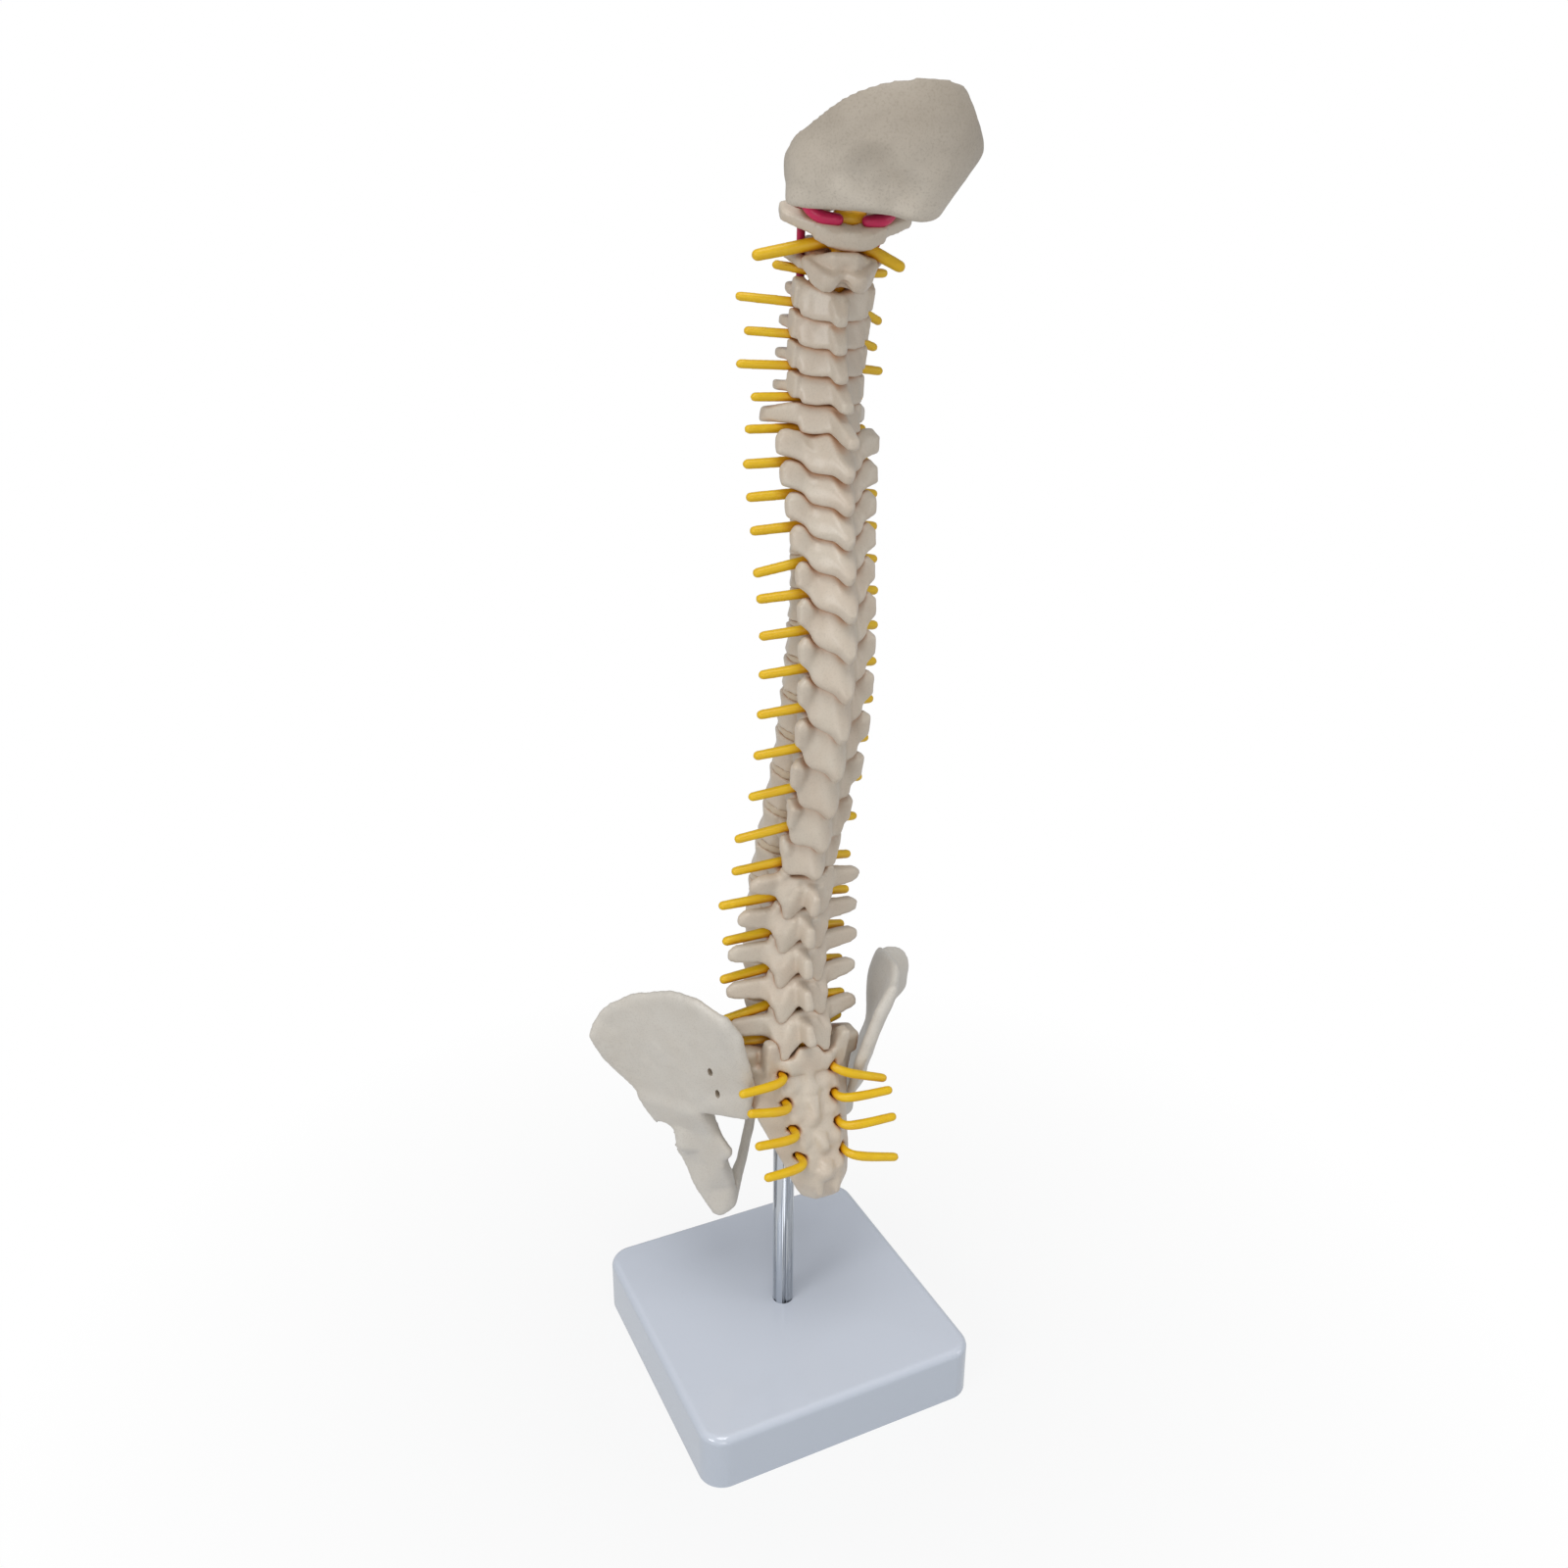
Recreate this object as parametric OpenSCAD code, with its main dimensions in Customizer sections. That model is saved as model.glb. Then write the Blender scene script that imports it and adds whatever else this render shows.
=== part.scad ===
// Anatomical model of a whole spine with pelvis, about half life size, on a block stand.
// Its back faces -Y and its left side faces -X. The stand's underside lies on z = 0.
// Vertebrae are numbered from the skull down: 1 is the atlas, 8 the first chest one, 24 the lowest.

/* [Stand] */
// Side of the square block
base_w = 110; // [90:1:130]
// Height of the block
base_h = 22; // [18:0.5:30]
// Radius of the block's upright corners
base_corner = 9; // [5:0.5:14]
// Rounding of the block's top edge
base_edge = 3; // [1:0.5:5]
// Wall of the moulded block
base_wall = 2.6; // [2:0.1:4]
// Thickness of the steel rod
rod_d = 8; // [6:0.5:10]

/* [Column] */
// Height of the middle of the lowest vertebral body
lowest_z = 150; // [148:0.5:152]
// Half of the forward and backward swing of the S curve
curve_swing = 10.7; // [9:0.1:12]
// Height at which the S curve is furthest forward
curve_front_z = 180; // [176:1:186]
// How fast the neck bends back above its start
neck_bend = 0.0031; // [0.0026:0.0001:0.0036]
// Sideways shift of the chest and neck
side_shift = 4; // [0:0.5:5]
// Turn of the topmost two vertebrae, their backs towards the model's left
neck_turn = 17; // [0:1:20]

/* [Pelvis] */
// Thickness of the hip plates
hip_plate = 3; // [2.6:0.1:4]
// Radius of the hip sockets
socket_r = 8; // [7:0.5:8.5]

/* [Skull plate] */
// Outer radius of the bowl at the back of the skull
skull_r = 26; // [25.5:0.5:26.5]
// Thickness of the bowl
skull_wall = 2.4; // [2:0.1:3]

/* [Nerves] */
// Radius of a nerve stub at its root
nerve_root_r = 1.4; // [1:0.05:1.6]
// Radius of a nerve stub at its tip
nerve_tip_r = 1.1; // [0.8:0.05:1.3]
// Radius of the arteries beside the neck
artery_r = 1.2; // [1:0.05:1.25]

/* [Hidden] */
LAST = 24;
WAVE = 240;             // height of one whole S curve
NECK_START_Z = 320;
SHIFT_START_Z = 165;
SHIFT_END_Z = 250;
NECK_LEAN = 0.04;

// Place of a vertebra on the column
function ease(t) = let (u = min(1, max(0, t))) u * u * (3 - 2 * u);
function spine_x(z) = side_shift * ease((z - SHIFT_START_Z) / (SHIFT_END_Z - SHIFT_START_Z))
    + NECK_LEAN * max(0, z - NECK_START_Z);
function spine_y(z) = curve_swing * cos(360 * (z - curve_front_z) / WAVE)
    - neck_bend * pow(max(0, z - NECK_START_Z), 2);
function spine_point(z) = [spine_x(z), spine_y(z), z];
function tilt(z) = atan((spine_y(z + 2) - spine_y(z - 2)) / 4);
function lean(z) = atan((spine_x(z + 2) - spine_x(z - 2)) / 4);
function turn(v) = lookup(v, [[1, -neck_turn], [2, -neck_turn], [6, 0]]);

// Distance from one vertebra down to the next, and the height that adds up to
function pitch(v) = lookup(v, [[1, 10.6], [2, 8.9], [6, 9.2], [8, 9.4], [12, 10], [14, 11.6],
    [17, 15], [20, 15], [24, 15.4]]);
function level_z(v) = v >= LAST ? lowest_z : level_z(v + 1) + pitch(v);

// Sizes of one vertebra
function body_w(v) = lookup(v, [[2, 9], [3, 10.4], [7, 13], [8, 14], [12, 16], [16, 20], [24, 24.5]]);
function body_d(v) = lookup(v, [[2, 7], [3, 8], [7, 9], [8, 10], [12, 16], [16, 19], [24, 18]]);
function disc_h(v) = lookup(v, [[2, 1.9], [8, 1.9], [14, 2.3], [19, 3.1], [24, 3.8]]);
function body_h(v) = pitch(max(v - 1, 2)) / 2 + pitch(v) / 2 - disc_h(v);
function canal_r(v) = lookup(v, [[2, 5.2], [7, 5], [9, 4.4], [17, 4.4], [20, 5], [24, 5.6]]);
function canal_y(v) = -body_d(v) / 2 - canal_r(v) * 0.9;
function side_half(v) = lookup(v, [[3, 13.2], [6, 14.6], [7, 17.3], [8, 17.2], [12, 13.4], [17, 13],
    [18, 11.6], [19, 10.8], [20, 20.5], [22, 24.8], [24, 25]]);
function at_back(v, behind) = canal_y(v) - canal_r(v) - behind;

module at_level(v) {
    z = level_z(v);
    translate(spine_point(z)) rotate(turn(v)) rotate([-tilt(z), lean(z), 0]) children();
}

// The same place as a function, for shapes that are skinned over points
function turn_x(a, p) = [p[0], p[1] * cos(a) - p[2] * sin(a), p[1] * sin(a) + p[2] * cos(a)];
function turn_y(a, p) = [p[0] * cos(a) + p[2] * sin(a), p[1], p[2] * cos(a) - p[0] * sin(a)];
function turn_z(a, p) = [p[0] * cos(a) - p[1] * sin(a), p[0] * sin(a) + p[1] * cos(a), p[2]];
function on_level(v, p) = let (z = level_z(v))
    spine_point(z) + turn_z(turn(v), turn_y(lean(z), turn_x(-tilt(z), p)));

// Sides of a piece that has two alike
module both_sides() {
    children();
    mirror([1, 0, 0]) children();
}

module ball(at, r, sides = 5) {
    translate(at) sphere(r, $fn = sides);
}

module slab(at, size) {
    translate(at) cube(size, center = true);
}

// Tapered bar between two blocks, each given by its middle and its size
module bar(from, size1, to, size2) {
    hull() {
        slab(from, size1);
        slab(to, size2);
    }
}

// Waisted round body of a vertebra
module vertebral_body(v) {
    w = body_w(v);
    waist = 0.44;
    sides = v <= 12 ? 8 : 10;
    scale([1, body_d(v) / w, 1]) {
        cylinder(body_h(v) / 2, w * waist, w / 2, $fn = sides);
        mirror([0, 0, 1]) cylinder(body_h(v) / 2, w * waist, w / 2, $fn = sides);
    }
}

// Neck vertebra: looped side arms for the artery, joint pillars and a short forked spine
module neck_vertebra(v) {
    r = canal_r(v);
    front = -body_d(v) / 2;
    yc = canal_y(v);
    half = side_half(v);
    pillar = r + 3;
    tip = lookup(v, [[3, 6], [5, 6.5], [6, 9], [7, 13.5]]);
    drop = lookup(v, [[3, 3.4], [6, 5], [7, 7]]);
    vertebral_body(v);
    both_sides() {
        bar([r - 0.6, front + 1.6, 1.4], [2, 3, 2.6], [pillar - 0.6, yc + 1, 1], [2.4, 1.4, 2.4]);
        bar([body_w(v) / 2 - 1, front + 6.1, -1.2], [2, 2, 2], [half - 1.4, front + 5, -1], [2.4, 2.2, 2.2]);
        bar([half - 1.4, front + 4.6, -1], [2.2, 2.2, 2.2], [pillar + 1.2, yc + 1, -0.4], [2, 1.4, 2.4]);
        // Half of the back plate, which slopes so that it covers the next one's upper edge
        hull() {
            slab([pillar, yc + 1.1, 2.6], [3.8, 2, 1.6]);
            slab([pillar - 0.4, yc - 2.6, -3.9], [4, 1.6, 1]);
            slab([0.3, at_back(v, 0.5), 2], [0.6, 1.6, 1.6]);
            slab([1, at_back(v, 3), -3.7], [2, 1.6, 1]);
        }
    }
    hull() {
        slab([0, at_back(v, 1.4), -1.4], [5, 1.6, 5]);
        slab([0, at_back(v, tip - 1), -drop], [3.2, 2, 2.4]);
    }
}

// Chest vertebra: thick side arms and a long spine that slopes down over the next one
module chest_vertebra(v) {
    r = canal_r(v);
    front = -body_d(v) / 2;
    yc = canal_y(v);
    half = side_half(v);
    step = pitch(v);
    arm = lookup(v, [[8, 3.2], [17, 3.1], [18, 2.7], [19, 2.4]]);
    arm_y = -lookup(v, [[8, 9.8], [12, 14.4], [16, 16.8], [19, 17.5]]);
    arm_z = lookup(v, [[8, 1.4], [12, 2], [17, 2.8], [19, 2]]);
    tip = lookup(v, [[8, 11], [12, 9], [15, 7], [17, 6.5], [19, 6.5]]);
    drop = lookup(v, [[8, 8], [12, 11], [15, 13], [17, 12], [18, 10], [19, 6]]);
    cover = lookup(v, [[8, 0.38], [11, 0.42], [18, 0.46], [19, 0.3]]);
    vertebral_body(v);
    both_sides() {
        bar([r + 1.4, front + 1.8, 1.8], [2.8, 2.4, step * 0.4],
            [r + 1.4, yc - 1, 1.6], [2.8, 2, step * 0.4]);
        hull() {
            slab([r + 1.8, yc - 2.4, step * 0.1], [3.4, 3, step * 0.5]);
            translate([half - arm, arm_y, arm_z]) scale([1, 0.8, 1.2]) sphere(arm, $fn = 8);
        }
        // Half of the back plate, drawn out into the spine and covering the next one's upper edge
        hull() {
            slab([r + 3.2, yc - 1.8, step * 0.26], [6, 2.4, step * 0.18]);
            slab([r + 2.4, yc - 5, -step * cover], [4.6, 1.8, step * 0.14]);
            slab([0.3, at_back(v, 1), step * 0.26], [0.6, 2, step * 0.18]);
            ball([0, at_back(v, tip - 1.4), -drop], 2.4, 5);
        }
    }
}

// Lumbar vertebra: long side arms, hanging joint tongues and a broad upright spine
module lumbar_vertebra(v) {
    r = canal_r(v);
    front = -body_d(v) / 2;
    yc = canal_y(v);
    half = side_half(v);
    step = pitch(v);
    arm_y = -lookup(v, [[20, 18], [22, 16.5], [24, 15]]);
    tongue_x = lookup(v, [[20, 6.2], [24, 8]]);
    tongue_z = -step * 0.62;
    vertebral_body(v);
    both_sides() {
        bar([r + 1.9, front + 2.2, 2], [3.2, 3, step * 0.4], [r + 2, yc - 2.4, 1.8], [3.4, 2, step * 0.38]);
        hull() {
            slab([r + 2.8, yc - 2.6, 1], [3, 3.4, 7]);
            slab([half - 4, arm_y, 2.2], [2.6, 3, 5.4]);
            slab([half - 1.4, arm_y, 2], [2.8, 2, 3]);
        }
        bar([r + 3, yc - 3.4, 1.6], [3.4, 3, 3.4], [r + 3.4, yc - 4.4, step * 0.46], [2.2, 3.4, 1.6]);
        // Half of the back plate, from the side arm to the spine
        hull() {
            slab([r + 3, yc - 3, 2.6], [4, 2.4, 4]);
            slab([0.6, at_back(v, 1.2), 2.4], [1.2, 2, 3.6]);
            slab([tongue_x + 1.6, at_back(v, 1.4), -3.4], [3.4, 2.2, 2]);
            slab([1.4, at_back(v, 2.8), -4], [2.8, 2, 1.6]);
        }
        hull() {
            slab([tongue_x - 0.4, at_back(v, 2.2), -3], [6.4, 2.4, 2]);
            slab([tongue_x, at_back(v, 2.8), tongue_z], [2.8, 2, 2.4]);
        }
    }
    hull() {
        slab([0, at_back(v, 1.8), 0], [4, 2, 6.6]);
        slab([0, at_back(v, 8.6), -1.6], [2, 2, 5.6]);
        slab([0, at_back(v, 9), -4.6], [3.2, 3, 2]);
    }
}

// First vertebra: a ring without a body, with cups for the skull and long side arms
module atlas() {
    difference() {
        both_sides() {
            bar([0, 7.4, 0], [1, 2.4, 4.2], [7, 4.8, 0], [3, 3, 4.4]);
            bar([8.6, 3.4, 0.4], [4.8, 7, 5.6], [8.8, -1, 0], [4.4, 3.6, 4]);
            bar([10.4, 4.3, -0.4], [3, 2, 2.8], [17, 1.6, -0.8], [3, 2.2, 3]);
            bar([10.2, -3.8, -0.4], [3, 2, 2.8], [17, -0.8, -0.8], [3, 2.2, 3]);
            bar([9, -2.4, 0], [3, 3, 3.6], [7, -8.8, 0], [3.2, 2.8, 3.8]);
            bar([7, -8.8, 0], [3.2, 2.8, 3.8], [0, -11.8, -1.2], [3, 3, 5.2]);
            hull() {
                slab([16.4, -1.6, -0.9], [3, 2, 2.6]);
                slab([10.2, -4, -0.6], [3, 2, 2.6]);
                slab([7.4, -9, -0.2], [3, 2.6, 3.2]);
            }
        }
        both_sides() translate(CONDYLE_SEAT) sphere(CONDYLE_R, $fn = 10);
    }
}

// Second vertebra: the peg that the atlas turns on and a broad forked spine
module axis() {
    v = 2;
    r = canal_r(v);
    front = -body_d(v) / 2;
    yc = canal_y(v);
    vertebral_body(v);
    bar([0, 0.4, 3], [4.6, 4.6, 2], [0, 1, 10.4], [3, 3, 2]);
    both_sides() {
        bar([r + 0.6, front + 3.6, 2.4], [6, 5.6, 2.6], [r + 1.2, yc + 1.2, 0], [3.4, 2.4, 4.4]);
        bar([body_w(v) / 2, front + 5.8, -0.8], [2.4, 2, 2], [13.6, front + 5.2, -0.8], [2, 2, 2.2]);
        bar([13.8, front + 4.8, -0.8], [2, 2, 2.2], [r + 3.8, yc + 0.4, -0.6], [2, 1.8, 2.6]);
        hull() {
            slab([r + 2, yc - 0.6, 0.4], [3, 2.2, 4.4]);
            slab([r + 1.6, yc - 2, -4], [3.6, 2.2, 1.4]);
            slab([0.6, at_back(v, 1.4), 2.4], [1.2, 2, 3.8]);
            slab([2.4, at_back(v, 2.8), -3.6], [4, 2.4, 1.6]);
        }
        bar([1.4, at_back(v, 2), 0.4], [3, 2.4, 4.4], [3.8, at_back(v, 4.8), -3.8], [4, 2.4, 3]);
    }
}

module vertebra(v) {
    color("ivory") at_level(v) {
        if (v == 1) atlas();
        else if (v == 2) axis();
        else if (v <= 7) neck_vertebra(v);
        else if (v <= 19) chest_vertebra(v);
        else lumbar_vertebra(v);
    }
}

// Disc between a vertebra and the next one down, cut by both end faces
function oval(w, d, steps = 24) = [for (i = [0:steps - 1])
    let (a = 360 * (i + 0.5) / steps) [w / 2 * cos(a), d / 2 * sin(a)]];

module half_space(z, upward) {
    size = 80;
    translate([0, 0, z + (upward ? size / 2 : -size / 2)]) cube(size, center = true);
}

SACRUM_TOP = [0, spine_y(lowest_z) - 4, lowest_z - 10.6];
SACRUM_TILT = 26;
PELVIS_ROLL = 3.4;      // left side up
PELVIS_PIVOT = [0, 0, 125];

module in_pelvis() {
    translate(PELVIS_PIVOT) rotate([0, PELVIS_ROLL, 0]) translate(-PELVIS_PIVOT) children();
}

module at_sacrum() {
    in_pelvis() translate(SACRUM_TOP) rotate([-SACRUM_TILT, 0, 0]) children();
}

module disc(v) {
    middle_z = v < LAST ? (level_z(v) + level_z(v + 1)) / 2 : (lowest_z + SACRUM_TOP[2]) / 2;
    color("wheat") intersection() {
        translate(spine_point(middle_z)) rotate(turn(v)) rotate([-tilt(middle_z), lean(middle_z), 0])
            linear_extrude(pitch(v) * 0.8, center = true)
                polygon(oval(body_w(v) * 0.95, body_d(v) * 0.95));
        at_level(v) half_space(-body_h(v) / 2, false);
        if (v < LAST) at_level(v + 1) half_space(body_h(v + 1) / 2, true);
        else at_sacrum() half_space(0, true);
    }
}

// Sacrum with tail bone: tapering curved wedge, drawn in the stand's own directions
// Each row holds the height, the back face, the front face and the half width there
SACRAL_ROWS = [[138, -17.5, 8, 24], [127, -22, 1, 19.5], [115, -26.5, -7.6, 16], [105, -30, -15, 13],
    [98, -31, -19.5, 11], [91, -29.5, -21.5, 7.4]];
SACRAL_HOLES = [[9.6, 137.5], [9.4, 128], [8.6, 118.5], [8.2, 108.5]];
SACRAL_CANAL = [[0, -12.4, 146], [0, -17.1, 124], [0, -22.6, 108.5]];

function sacral_canal_y(z) = lookup(z, [[95, -27.5], [120, -18.4], [152, -11]]);
function sacral_back(z) = -lookup(z, [[104, 30], [115, 26.5], [127, 22], [138, 17.5]]);

module sacral_row(row) {
    half = row[3];
    back = row[1];
    depth = row[2] - back;
    translate([0, 0, row[0]]) linear_extrude(0.6, center = true)
        polygon([[half, back + depth * 0.45], [half * 0.9, back + depth * 0.8], [half * 0.4, row[2]],
            [-half * 0.4, row[2]], [-half * 0.9, back + depth * 0.8], [-half, back + depth * 0.45],
            [-half * 0.5, back], [half * 0.5, back]]);
}

module sacrum_block() {
    for (i = [0:len(SACRAL_ROWS) - 2]) hull() {
        sacral_row(SACRAL_ROWS[i]);
        sacral_row(SACRAL_ROWS[i + 1]);
    }
    // Raised end face under the lowest disc and the wings beside it
    hull() {
        translate(SACRUM_TOP) rotate([-SACRUM_TILT, 0, 0]) linear_extrude(0.02)
            polygon(oval(body_w(LAST), body_d(LAST), 12));
        slab([0, -4, 134], [18, 18, 1]);
    }
    both_sides() hull() {
        slab([20, -3, 137], [8, 13, 2]);
        slab([10, -2, 141], [4, 12, 2]);
        slab([21, -8, 144], [5, 7, 2]);
    }
}

module sacrum() {
    color("ivory") difference() {
        in_pelvis() union() {
            sacrum_block();
            // Joint horns that carry the lowest vertebra's tongues
            both_sides() bar([12.4, -13, 139], [6, 6, 4], [14.6, -15.5, 149.5], [3, 4.6, 2]);
            // Arch over the canal's upper end, the crest below it and the horns at its lower end
            slab([0, -17.8, 139.6], [16, 2.8, 4]);
            for (i = [0:3]) {
                row = SACRAL_ROWS[i];
                bar([0, row[1] + 0.6, row[0] - 1.5], [4.6, 2, 7],
                    [0, row[1] - 1.8, row[0] - 2.5], [2.4, 1, 5]);
            }
            both_sides() bar([3.4, -30.6, 102], [2.6, 2, 5], [3.4, -31.4, 95], [2, 2, 3]);
        }
        // Holes for the nerves, right through to the front
        in_pelvis() for (hole = SACRAL_HOLES)
            slab([0, sacral_canal_y(hole[1]), hole[1]], [hole[0] * 2, 2.9, 2.9]);
        in_pelvis() for (hole = SACRAL_HOLES) both_sides()
            translate([hole[0], -10, hole[1]]) rotate([90, 0, 0])
                cylinder(50, r = 2.4, $fn = 6, center = true);
        // Canal behind the bodies, open at both ends
        in_pelvis() hull() {
            slab([0, -11, 152], [14, 6, 2]);
            slab([0, -18.2, 120], [6, 3.6, 2]);
        }
        in_pelvis() bar([0, -17.8, 122], [6, 3.6, 2], [0, -27.5, 95], [4.4, 3.8, 6]);
        // Room for the lowest disc
        at_sacrum() linear_extrude(8) polygon(oval(body_w(LAST) + 1, body_d(LAST) + 1, 12));
        translate([0, 0, 60]) cylinder(ROD_TOP - 59.8, r = rod_d / 2 + 0.3, $fn = 12);
    }
}

// Hip bone, right side: a web of plates between named corners
ASIS = [64.5, 30, 138.5];
CREST_FRONT = [59, 24.5, 152.5];
CREST_TOP = [50, 10, 163.5];
CREST_BACK = [40.5, -6.5, 167];
SPINE_BACK = [33.5, -16, 163];
JOINT_TOP = [28, -17, 155];
JOINT_LOW = [21.5, -16, 133];
SPINE_LOW = [21, -13, 121];
UNDER_ASIS = [59, 31, 128.5];
NOTCH = [52, 28, 120.5];
AIIS = [46, 25, 113.5];
SOCKET_FRONT = [38.5, 22, 101];
SOCKET_LOW = [31, 17, 89.5];
SCIATIC_TOP = [30, -6, 125];
COLUMN_TOP = [34, 2, 118];
COLUMN_MID = [27, 3, 107];
TOOTH = [21.5, -2, 98];
LESSER = [22.5, 3, 92];
TUBER_IN = [17.5, 6, 79.5];
TUBER_BACK = [15, 7, 69];
TUBER_LOW = [20, 8.5, 65];
TUBER_FRONT = [26, 12, 75.5];
RAMUS = [9, 13.5, 81];
PUBIS_LOW = [2.4, 21, 94];
PUBIS_TOP = [2.4, 26, 105];
PUBIS_ARM = [17, 27, 109];
SOCKET = [29.5, 16, 99.5];

module web(corners, r) {
    hull() for (corner = corners) ball(corner, r, 4);
}

module hip_form() {
    t = hip_plate / 2;
    color("ivory") difference() {
        union() {
            web([ASIS, CREST_FRONT, NOTCH, UNDER_ASIS], t);
            web([CREST_FRONT, CREST_TOP, AIIS, NOTCH], t);
            web([CREST_TOP, CREST_BACK, COLUMN_TOP, AIIS], t * 1.1);
            web([CREST_BACK, SPINE_BACK, JOINT_LOW, COLUMN_TOP], t * 1.1);
            web([SPINE_BACK, JOINT_TOP, JOINT_LOW], t * 1.6);
            web([JOINT_LOW, SPINE_LOW, SCIATIC_TOP, COLUMN_TOP], t * 1.2);
            web([AIIS, COLUMN_TOP, COLUMN_MID, SOCKET_FRONT], t * 2);
            web([SOCKET_FRONT, COLUMN_MID, LESSER, SOCKET_LOW], t * 2);
            web([COLUMN_MID, TOOTH, LESSER], t);
            web([SOCKET_LOW, LESSER, TUBER_IN, TUBER_FRONT], t * 1.8);
            web([TUBER_FRONT, TUBER_IN, TUBER_BACK, TUBER_LOW], t * 1.8);
            web([TUBER_LOW, TUBER_BACK, RAMUS], t * 1.5);
            web([RAMUS, PUBIS_LOW], t * 1.7);
            web([PUBIS_LOW, PUBIS_TOP], t * 1.6);
            web([PUBIS_TOP, PUBIS_ARM], t * 1.4);
            web([PUBIS_ARM, SOCKET_FRONT], t * 1.8);
            ball(SOCKET, socket_r + 2, 8);
        }
        translate(SOCKET + [5, 4, -2]) sphere(socket_r, $fn = 12);
        translate([-20, 0, 0]) cube([40, 200, 300], center = true);
        sacrum_block();
    }
}

module hip_left() {
    in_pelvis() mirror([1, 0, 0]) hip_form();
}

module hip_right() {
    in_pelvis() hip_form();
}

// Skull plate: the bowl of the back of the head, its flatter underside and two knobs on the atlas
SKULL = spine_point(level_z(1)) + [2.2, -17.6, 17.6];
UNDER_R = 75;
UNDER_MIDDLE = -12;     // how far behind the bowl's middle the underside is lowest
UNDERSIDE = 19;         // depth of the underside below the bowl's middle
UPPER_CUT = 25.6;       // slope of the upper edge, which rises to the back
FRONT_CUT = 35.5;       // slope of the front edge above the joints
RIM_ABOVE = 1;          // height of both cuts over the bowl's middle
CONDYLE_R = 4;
CONDYLE_SEAT = [8.6, 1.5, 5.4];

module skull_form(inset) {
    intersection() {
        sphere(skull_r - inset, $fn = 72);
        translate([0, UNDER_MIDDLE, UNDER_R - UNDERSIDE]) sphere(UNDER_R - inset, $fn = 120);
    }
}

module skull_cut(slope, height) {
    size = 100;
    rotate([-slope, 0, 0]) translate([0, 0, height + size / 2]) cube(size, center = true);
}

module skull_plate() {
    color([0.8, 0.77, 0.72]) {
        translate(SKULL) difference() {
            skull_form(0);
            skull_form(skull_wall);
            skull_cut(UPPER_CUT, RIM_ABOVE);
            skull_cut(FRONT_CUT, RIM_ABOVE);
            // Opening for the cord, between the knobs
            translate([-2.2, 12.8, -30]) cylinder(30, r = 5.6, $fn = 48);
        }
        at_level(1) both_sides() translate(CONDYLE_SEAT) sphere(CONDYLE_R - 0.3, $fn = 32);
    }
}

// Spinal cord with its nerve stubs, one soft yellow moulding
function nerve_half(v) = lookup(v, [[1, 19.5], [3, 22], [6, 20.5], [8, 22], [13, 20.5], [17, 20],
    [20, 22.5], [24, 22]]);
function nerve_forward(v) = lookup(v, [[1, 5], [3, 9], [6, 7], [8, 5.5], [12, 6.5], [16, 5], [19, 3],
    [23, 2], [24, 6]]);
function nerve_sag(v) = lookup(v, [[1, 2.2], [2, 0.6], [7, 0.6], [8, 1.4], [12, 2.6], [17, 4], [23, 3.6],
    [24, 0.6]]);
function nerve_level(v) = -pitch(v) * (v == LAST ? 0.3 : 0.4);
function cord_r(v) = lookup(v, [[1, 3], [7, 2.8], [8, 2.5], [19, 2.5], [24, 2.1]]);
function cord_y(v) = v == 1 ? -5.6 : canal_y(v);

module peg(from, to, r1, r2) {
    way = to - from;
    length = norm(way);
    hull() translate(from) rotate([0, acos(way[2] / length), atan2(way[1], way[0])])
        cylinder(length, r1, r2, $fn = 5);
}

module nerve_pair(v) {
    // The lowest pair starts further back, where the cord bends into the sacrum
    root = [0.7, cord_y(v) - (v == LAST ? 3.4 : 0), nerve_level(v)];
    // From the axis down the neck the nerve runs forward first, to pass between joint pillar and artery
    knee = [canal_r(v) + 1, cord_y(v) + 3.5, nerve_level(v)];
    tip = [nerve_half(v), cord_y(v) + (v == 1 ? -1.8 : nerve_forward(v)), nerve_level(v) - nerve_sag(v)];
    both_sides() {
        if (v >= 2 && v <= 7) {
            peg(root, knee, nerve_root_r, nerve_root_r);
            peg(knee - [0.9, 0.2, 0], tip, nerve_root_r * 0.97, nerve_tip_r);
        } else peg(root, tip, nerve_root_r, nerve_tip_r);
    }
}

// Skin of the cord: one ring at each vertebra, then three down the sacral canal
CORD_SIDES = 6;
CORD_TWIST = 21;

function ring(middle, r) = [for (i = [0:CORD_SIDES - 1])
    let (a = CORD_TWIST + 360 * i / CORD_SIDES) middle + [r * cos(a), r * sin(a), 0]];
function on_pelvis(p) = PELVIS_PIVOT + turn_y(PELVIS_ROLL, p - PELVIS_PIVOT);

CORD_RINGS = concat(
    [[for (p = ring([0, cord_y(1), 3], cord_r(1))) on_level(1, p)]],
    [for (v = [1:LAST]) [for (p = ring([0, cord_y(v), 0], cord_r(v))) on_level(v, p)]],
    [for (i = [0:len(SACRAL_CANAL) - 1]) [for (p = ring(SACRAL_CANAL[i], 1.7 - i * 0.3)) on_pelvis(p)]]);

module cord_skin() {
    n = CORD_SIDES;
    last = (len(CORD_RINGS) - 1) * n;
    polyhedron([for (points = CORD_RINGS) each points], concat(
        [[for (i = [n - 1:-1:0]) i]],
        [for (k = [0:len(CORD_RINGS) - 2], i = [0:n - 1])
            [k * n + i, k * n + (i + 1) % n, (k + 1) * n + (i + 1) % n]],
        [for (k = [0:len(CORD_RINGS) - 2], i = [0:n - 1])
            [k * n + i, (k + 1) * n + (i + 1) % n, (k + 1) * n + i]],
        [[for (i = [0:n - 1]) last + i]]));
}

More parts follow.
